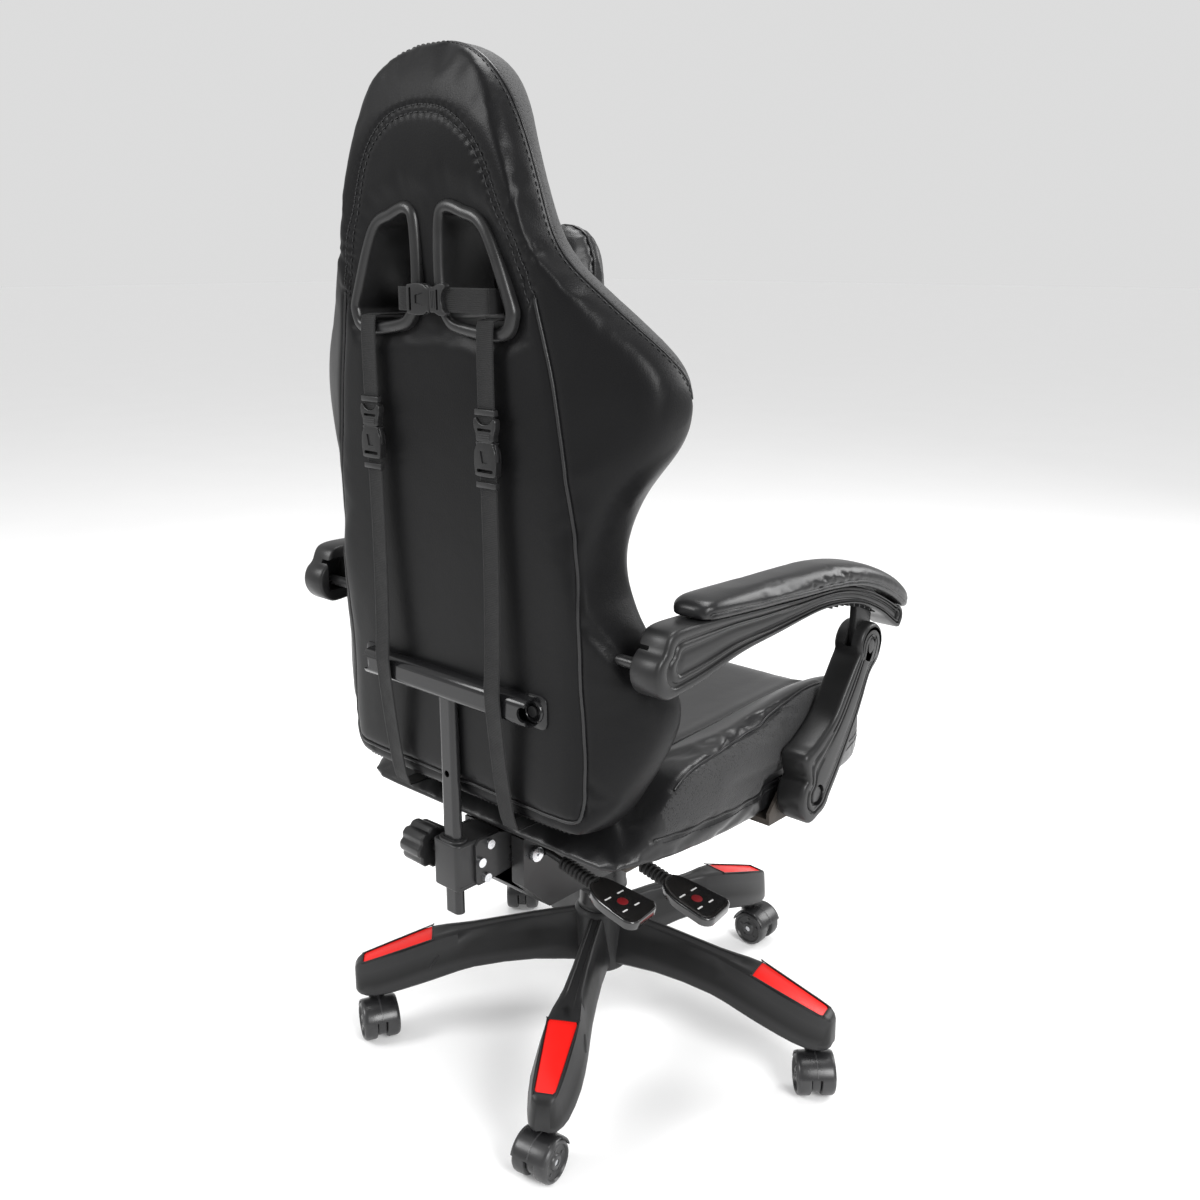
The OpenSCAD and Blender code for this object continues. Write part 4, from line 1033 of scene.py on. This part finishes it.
# Rows of depth, underside, top and half width of the armrest's pad
PAD = [(-247, 578, 590, 14), (-242, 577, 600, 22), (-228, 583, 611, 27), (-200, 599, 628, 30),
       (-160, 617, 645, 31), (-120, 629.5, 657, 31), (-80, 635.5, 664, 30.5), (0, 639.5, 667.5, 30),
       (80, 644, 669, 29.5), (140, 648, 671, 29), (160, 649.6, 670, 27), (170, 651, 665, 20),
       (173, 653, 661, 12)]


def build_pad():
    mid = ARM_IN + 18.5
    rings = []
    for y in [-247, -242, -235, -228, -214, -200, -180, -160, -140, -120, -80, -40, 0, 40, 80, 110, 140,
              152, 160, 166, 170, 173]:
        b, t, w = look(PAD, 1, y) - 3, look(PAD, 2, y), look(PAD, 3, y)
        q = (t - b) * 0.3
        rings.append([(mid - w + 3, y, b), (mid + w - 3, y, b), (mid + w, y, b + q),
                      (mid + w - 1, y, t - q), (mid + w * 0.75, y, t - 1), (mid, y, t),
                      (mid - w * 0.75, y, t - 1), (mid - w + 1, y, t - q), (mid - w, y, b + q)])
    pad = loft(rings)
    subdivide(pad, 2)
    remesh(pad, 0.004, 2)
    shrink(pad, 0.6)
    points = coordinates(pad) / MM
    under = np.array([look(PAD, 1, y) for y in points[:, 1]])
    held = np.clip((under + 5 - points[:, 2]) / 3, 0, 1)
    puff(pad, 1.8, 2.5, 0.002, held)
    subdivide(pad)
    points = coordinates(pad) / MM
    under = np.array([look(PAD, 1, y) for y in points[:, 1]])
    points[:, 2] = np.maximum(points[:, 2], under + 0.3)
    move_to(pad, points * MM)
    tree = tree_of(pad)
    rim = []
    for side, ys in ((1, range(-236, 161, 12)), (-1, range(160, -237, -12))):
        rim += [(mid + side * (look(PAD, 3, y) + 2), y, look(PAD, 1, y) + 6.5) for y in ys]
    seam, _ = snap(tree, smooth_path(rim, 3, True))
    press(pad, seam, 2.6, 1.8)
    for y, lean in ((-52, 9), (-70, 7), (-88, 12), (-30, 6), (-104, 8)):
        for side in (1, -1):
            fold = [(mid + side * (look(PAD, 3, y) + 1), y + k * 7, look(PAD, 1, y) + 8 + k * lean * 0.6)
                    for k in (0, 1, 2)]
            press(pad, snap(tree, smooth_path(fold, 2))[0], 3, 1.4)
    return pad, seam


def build_armrests():
    beam, strut = build_beam(), build_strut()
    pad, seam = build_pad()
    seam, out = snap(tree_of(pad), seam, 0.0)
    welt = tube(seam, 1.1, out, closed=True)
    for side, letter in (("left", "l"), ("right", "r")):
        rows = [(beam, "arm_" + letter, "arm_plastic", ARM_NYLON, "arm_beam_" + side,
                 "armrest_beam_" + side), (strut, "strut_" + letter, "arm_plastic", ARM_NYLON,
                                           "strut_" + side, "armrest_strut_" + side),
                (pad, "arm_" + letter, "pad_leather", PAD_LEATHER, "arm_pad_" + side,
                 "armrest_pad_" + side), (welt, "arm_" + letter, "pad_leather", PIPING, None,
                                          "armrest_pad_welt_" + side)]
        for source, body, slot, material, node, name in rows:
            made = mirror_copy(source, name) if side == "right" else copy_of(source, name)
            settle(made, body, material, [node] if node else (), name, 60 if "pad" in name else 45)
    for source in (beam, strut, pad, welt):
        bpy.data.objects.remove(source)


# ---- Base and casters ----
BODY_OF = {node: body for body, nodes in frame["record"]["behaviour"]["bodies"].items() for node in nodes}
SLOT_OF = {row["node"]: row["material_slot"] for row in frame["record"]["subparts"]}
LEG_YAWS = [48.5 + 72 * k for k in range(5)]
SWIVEL_YAWS = [153, 100, 133, 180, 310]
BASE_R, TRAIL, WHEEL_R = 300, 16, 25
# Rows of reach, half width at the top, half width at the foot of the side, underside, side break and top
LEG = [(20, 9, 17, 92, 104, 164), (90, 9.5, 19, 99, 112, 157), (170, 12, 24, 96, 108, 146),
       (222, 19.5, 29, 84, 98, 138), (262, 19, 30, 73, 86, 124), (300, 17, 24, 61.5, 72, 112),
       (320, 13, 16, 61.5, 70, 104), (325, 8, 9, 64, 71, 98)]


LEG_STATIONS = (22, 50, 90, 130, 170, 190, 205, 222, 240, 262, 282, 300, 311, 318, 322, 325)


def stand_in(obj, node, material, name, sharp=35):
    return settle(obj, BODY_OF[node], material, [node], name, sharp)


def leg_ring(reach):
    t, w, under, side, top = (look(LEG, k, reach) for k in (1, 2, 3, 4, 5))
    groove = 1.3 * min(1, max(0, (214 - reach) / 20))
    half = [(0, top - groove), (t * 0.42, top - groove), (t * 0.52, top), (t * 0.8, top - 0.3),
            (t, top - 2.2), (mix(t, w, 0.42), mix(top, side, 0.42)), (mix(t, w, 0.8), mix(top, side, 0.8)),
            (w, side), (w, under + 3), (w - 2.5, under), (w * 0.4, under + 1), (0, under + 1)]
    return [(reach, y, z) for y, z in both_sides(half)]


def insert_line(x):
    return 138 - (x - 222) * 30 / 86


def insert_shape(grow, low, high, yaw):
    outline = [(223 - grow, -16 - grow), (227, -17.5 - grow), (311, -12 - grow), (314 + grow, -9 - grow),
               (314 + grow, 9 + grow), (311, 12 + grow), (227, 17.5 + grow), (223 - grow, 16 + grow)]
    points = [(x, y, insert_line(x) + h) for h in (low, high) for x, y in outline]
    made = new_object("insert", points, prism_faces(len(outline)))
    made.data.transform(yaw)
    return made


def build_base():
    hub = lathe([(19, 84), (33, 84), (36, 88), (36, 160), (34.6, 165), (31, 168), (25.1, 168), (25.1, 88),
                 (19, 88)], (0, 0, 0), "z", 64)
    yaws = [turn(yaw, "Z") for yaw in LEG_YAWS]
    for yaw in yaws:
        leg = loft([leg_ring(reach) for reach in LEG_STATIONS])
        leg.data.transform(yaw)
        combine(hub, leg, "UNION")
    drill(hub, (0, 0), 25.1, 88, 190, "z", count=64)
    rims, inserts = [], []
    for yaw in yaws:
        stem = prism(circle((BASE_R, 0), 5.6, 24), 50, 98, "z")
        stem.data.transform(yaw)
        combine(hub, stem)
        combine(hub, insert_shape(0.5, -3.2, 24, yaw))
        inserts.append(bevel(insert_shape(0, -3, -0.8, yaw), 0.7, 2))
        edge = [(223.5, -17), (228, -18.4), (310, -12.9), (314.8, -9.5), (314.8, 9.5), (310, 12.9),
                (228, 18.4), (223.5, 17)]
        path = np.array([(x, y, insert_line(x) + 0.1) for x, y in edge])
        rim = tube(smooth_path(path, 4, True), 0.9, closed=True, sides=6)
        rim.data.transform(yaw)
        rims.append(rim)
        crease = tube(smooth_path([(216, 24.5, 117), (222, 26.5, 110), (228, 28, 101)], 3), 1.1, sides=6)
        crease.data.transform(yaw)
        rims.append(crease)
    bevel(hub, 1.1, 2, 38)
    stand_in(join("base", [hub] + rims), "star_base", NYLON, "star_base_moulding", 38)
    stand_in(join("inserts", inserts), "leg_inserts", RED, "leg_insert_set")


def build_casters():
    profile = [(4.1, 6.2), (22.4, 6.2), (24.2, 6.9), (25, 8.6), (25, 18.6), (24.5, 21), (23, 22.9),
               (21, 23.7), (20, 22.8), (19.2, 20.9), (17.8, 20.3), (11, 20), (9.6, 20.6), (8.8, 22.2),
               (7.2, 23), (4.1, 23)]
    wheel = [lathe([(r, s * y) for r, y in profile], (TRAIL, 0, WHEEL_R), "y", 64) for s in (1, -1)]
    for s in (1, -1):
        for k in range(5):
            a = math.radians(72 * k + 20)
            spot = (TRAIL + 14.4 * math.cos(a), WHEEL_R + 14.4 * math.sin(a))
            wheel.append(bevel(prism(circle(spot, 2.1, 12), *sorted((s * 19.6, s * 21)), "y"), 0.5))
    wheels = join("wheels", wheel)
    hood_profile = [(26.2, -21.8), (27.1, -22.6), (28, -21.6), (28.5, -18), (28.8, -8), (28.8, 8),
                    (28.5, 18), (28, 21.6), (27.1, 22.6), (26.2, 21.8)]
    hood = lathe(hood_profile, (TRAIL, 0, WHEEL_R), "y", 40, 19, 146)
    web = prism(circle((TRAIL, WHEEL_R), 21, 48), -5.3, 5.3, "y")
    drill(web, (TRAIL, WHEEL_R), 4.05, -10, 10, "y")
    neck = box((TRAIL - 6, -5.2, 40), (TRAIL + 6, 5.2, 52.4))
    boss = lathe([(5.6, 40), (10, 40), (10.2, 52), (9.6, 58.6), (8, 60.4), (5.6, 60.4)], (0, 0, 0), "z", 40)
    brace = box((2, -4.6, 42), (TRAIL, 4.6, 51))
    rib = lathe([(28.6, -1.1), (29.3, -0.7), (29.3, 0.7), (28.6, 1.1)], (TRAIL, 0, WHEEL_R),
                "y", 30, 24, 136)
    hoods = join("hood", [hood, bevel(web, 0.8), neck, boss, brace, rib])
    for k, (leg, yaw) in enumerate(zip(LEG_YAWS, SWIVEL_YAWS), 1):
        a = math.radians(leg)
        spot = shift(BASE_R * math.cos(a), BASE_R * math.sin(a), 0) @ turn(yaw, "Z")
        for source, part, material in ((wheels, "wheels", TYRE), (hoods, "hood", CASTER)):
            made = copy_of(source, "piece", spot)
            stand_in(made, "caster_%d_%s" % (k, part), material, "caster_%d_%s_moulding" % (k, part), 40)
    bpy.data.objects.remove(wheels)
    bpy.data.objects.remove(hoods)


def build_covers():
    lower = lathe([(26.6, 168.6), (30.2, 168.6), (30.5, 171), (29.4, 172.6), (29, 176), (28.6, 200),
                   (28.4, 212.4), (27.8, 214), (26.6, 214)], (0, 0, 0), "z", 72)
    upper = lathe([(31.6, 196), (33.2, 196), (34.1, 197.4), (34, 200), (33.2, 201.2), (32.8, 204),
                   (32.6, 236), (33.1, 238), (34, 239.6), (34, 242.4), (31.6, 242.4)], (0, 0, 0), "z", 72)
    stand_in(lower, "lower_cover", SATIN, "lower_shroud", 30)
    stand_in(upper, "upper_cover", SATIN, "upper_shroud", 30)


# ---- Levers ----
RIB_PITCH = 6


def build_lever(name, y, sleeve_from, sleeve_to):
    """The sleeve and paddle on a lever's rod, made along -X and then turned to the rod's slope."""
    paddle_from = sleeve_to + 0.2
    spot = shift(-49, y, 322) @ Matrix.Rotation(-math.atan(0.2), 4, "Y")
    profile = [(4.1, -sleeve_to), (6.2, -sleeve_to)]
    for k in range(int((sleeve_to - sleeve_from) / RIB_PITCH)):
        x = -sleeve_to + RIB_PITCH * k + 1.2
        profile += [(6.4, x), (8.2, x + 0.3), (8.9, x + 1), (8.9, x + 2.4), (8.2, x + 3.1), (6.4, x + 3.4)]
    profile += [(6.2, -sleeve_from), (4.1, -sleeve_from)]
    sleeve = lathe(profile, (0, 0, 0), "x", 40)
    sleeve.data.transform(spot)
    stand_in(sleeve, name + "_sleeve", RUBBER, name + "_ribbed_sleeve", 40)
    outline = ([(0, -12)] + arc((-62, -14), 12, -90, -180, 6) + arc((-66, 16), 12, 180, 90, 6)
               + [(-24, 26), (0, 12)])
    outline = smooth_path(shifted(outline, -paddle_from, 0), 4, True)
    spine = [(-paddle_from - 8, 0), (-paddle_from - 30, 3), (-paddle_from - 55, 3)]
    rows = [(-5.6, 0.16), (-5.8, 0.08), (-4.4, 0.01), (-2, 0), (2.5, 0), (4.6, 0.015), (5.7, 0.06),
            (5.8, 0.11), (5.3, 0.17), (4.7, 0.22), (4.4, 0.4), (4.3, 0.8)]
    paddle = loft([[(x, v, z) for x, v in nested(outline, spine, share)] for z, share in rows])
    drill(paddle, (0, 0), 4.06, -paddle_from - 30, -paddle_from + 5, count=24)
    paddle.data.transform(spot)
    stand_in(paddle, name + "_paddle", GLOSS, name + "_paddle_moulding", 40)
    mid = -paddle_from - 42
    ticks = join("ticks", [bevel(box((mid + x, low, 4.2), (mid + x + 2, high, 4.7)), 0.3)
                           for x, low, high in ((12, -13, -3), (12, 8, 18), (-14, -11, -3), (-14, 9, 17))])
    dot = bevel(prism(circle((mid, 2.5), 6.5, 32), 4.1, 4.6, "z"), 0.2)
    for piece, material, label in ((ticks, WHITE_INK, "_ticks"), (dot, RED_INK, "_dot")):
        piece.data.transform(spot)
        settle(piece, BODY_OF[name + "_paddle"], material, (), name + label)


# ---- Back bracket, height box, knob and crossbar ----
UPRIGHT_Y, KNOB_Z = 252, 332


def build_height_box():
    low, high = (np.array(c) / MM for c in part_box("height_box"))
    width, depth = high[0] - low[0], high[1] - low[1]
    mid_y = (low[1] + high[1]) / 2
    shell = prism(shifted(rounded(width, depth, 7, 6), 0, mid_y), 296, 353.6, "z")
    bevel(shell, 2.6, 3)
    collar = prism(shifted(rounded(36.5, 24.5, 12, 8), 0, UPRIGHT_Y), 348, 356, "z")
    bevel(collar, 1.6, 3)
    combine(shell, collar, "UNION")
    combine(shell, prism(shifted(rounded(25.8, 13.8, 6.8, 8), 0, UPRIGHT_Y), 280, 370, "z"))
    combine(shell, prism(shifted(rounded(26, 40, 5, 5), 0, 228), 290, 304, "z"))
    for y, z in ((222, 345), (236, 327), (228, 305)):
        drill(shell, (y, z), 3.06, -60, 60, count=24)
    drill(shell, (UPRIGHT_Y, KNOB_Z), 4.06, 0, 60, count=24)
    lines = [box((s * 21.2 - 0.9, 200, z), (s * 21.2 + 0.9, 262, z + 1.2)) for s in (1, -1)
             for z in (300.5, 349.5)]
    stand_in(join("box", [shell] + lines), "height_box", BOX_PLASTIC, "height_box_moulding", 35)


def build_knob():
    low, high = (np.array(c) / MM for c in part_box("height_knob"))
    start = high[0] - 38
    lobes = []
    for k in range(96):
        a = 2 * math.pi * k / 96
        r = 24.4 + 1.6 * math.cos(8 * a) - 0.5 * math.cos(16 * a)
        lobes.append((UPRIGHT_Y + r * math.cos(a), KNOB_Z + r * math.sin(a)))
    spine = [(UPRIGHT_Y, KNOB_Z), (UPRIGHT_Y + 0.01, KNOB_Z)]
    rows = [(start, 0.14), (start + 0.6, 0.06), (start + 2.4, 0), (high[0] - 5, 0.02), (high[0] - 2, 0.07),
            (high[0] - 0.5, 0.15), (high[0], 0.24), (high[0] - 0.6, 0.3), (high[0] - 1.4, 0.36),
            (high[0] - 1.6, 0.8)]
    knob = relief(np.array(lobes), spine, rows)
    stem = prism(circle((UPRIGHT_Y, KNOB_Z), 4, 24), low[0], start + 1)
    stand_in(join("knob", [knob, stem]), "height_knob", SATIN, "height_knob_moulding", 30)


def build_crossbar():
    z = BAR_Z
    outer = ([(247.5, z + 16)] + arc((255.5, z + 6.5), (10.4, 9.5), 90, 5, 8)
             + arc((255.5, z - 6.5), (10.4, 9.5), -5, -90, 8) + [(247.5, z - 16), (247.5, z - 13.4)]
             + arc((255, z - 6), (7.6, 7.2), -90, -5, 8) + arc((255, z + 6), (7.6, 7.2), 5, 90, 8)
             + [(247.5, z + 13.4)])
    bar = prism(outer, -132, 132)
    bevel(bar, 0.7, 2, 50)
    upright = prism(shifted(rounded(25.6, 13.6, 6.7, 8), 0, UPRIGHT_Y), 500, 531, "z")
    combine(bar, upright)
    plates = []
    for s in (1, -1):
        plate = bevel(prism(shifted(rounded(33, 37, 8, 5), s * 131.5, z), 246, 248.6, "y"), 0.9, 2)
        lip = lathe([(9.4, 248.4), (12.6, 248.4), (12.4, 250.6), (11.4, 251.6), (10.2, 251.4), (9.4, 250)],
                    (s * 131, 0, z), "y", 40)
        drill(bar, (s * 130, z), 8.2, 249, 280, "y")
        drill(plate, (s * 130, z), 3.1, 230, 280, "y", count=24)
        plates += [plate, lip]
    stand_in(join("crossbar", [bar] + plates), "crossbar", GLOSS_STEEL, "crossbar_pressing", 40)


def finish_cad_nodes():
    """Gives the CAD nodes that stay their finishes; the upright and the back and arm screws are black."""
    painted = {"upright_tube": GLOSS_STEEL, "strut_bolts": BLACK_STEEL, "back_screws": BLACK_STEEL,
               "elbow_pin_right": BLACK_STEEL, "elbow_pin_left": BLACK_STEEL}
    for name, node in frame["nodes"].items():
        material = painted.get(name) or SLOT_FINISH.get(SLOT_OF[name], SATIN)
        if not node.data.materials:
            node.data.materials.append(material)
        for k in range(len(node.data.materials)):
            node.data.materials[k] = material


def build_floor():
    ground = new_object("floor", [(-40000, -40000, -1), (40000, -40000, -1), (40000, 40000, -1),
                                  (-40000, 40000, -1)], [(0, 1, 2, 3)])
    ground.data.materials.append(FLOOR)


build_backrest()
build_bezels()
build_pillow("head_pillow_soft", "head_pillow", 9, 0.46)
build_pillow("lumbar_pillow_soft", "lumbar_cushion", 8, 0)
build_seat()
build_straps()
build_armrests()
build_base()
build_casters()
build_covers()
build_lever("lift", 83, 92, 134)
build_lever("tilt", 157, 32, 86)
build_height_box()
build_knob()
build_crossbar()
finish_cad_nodes()
build_floor()
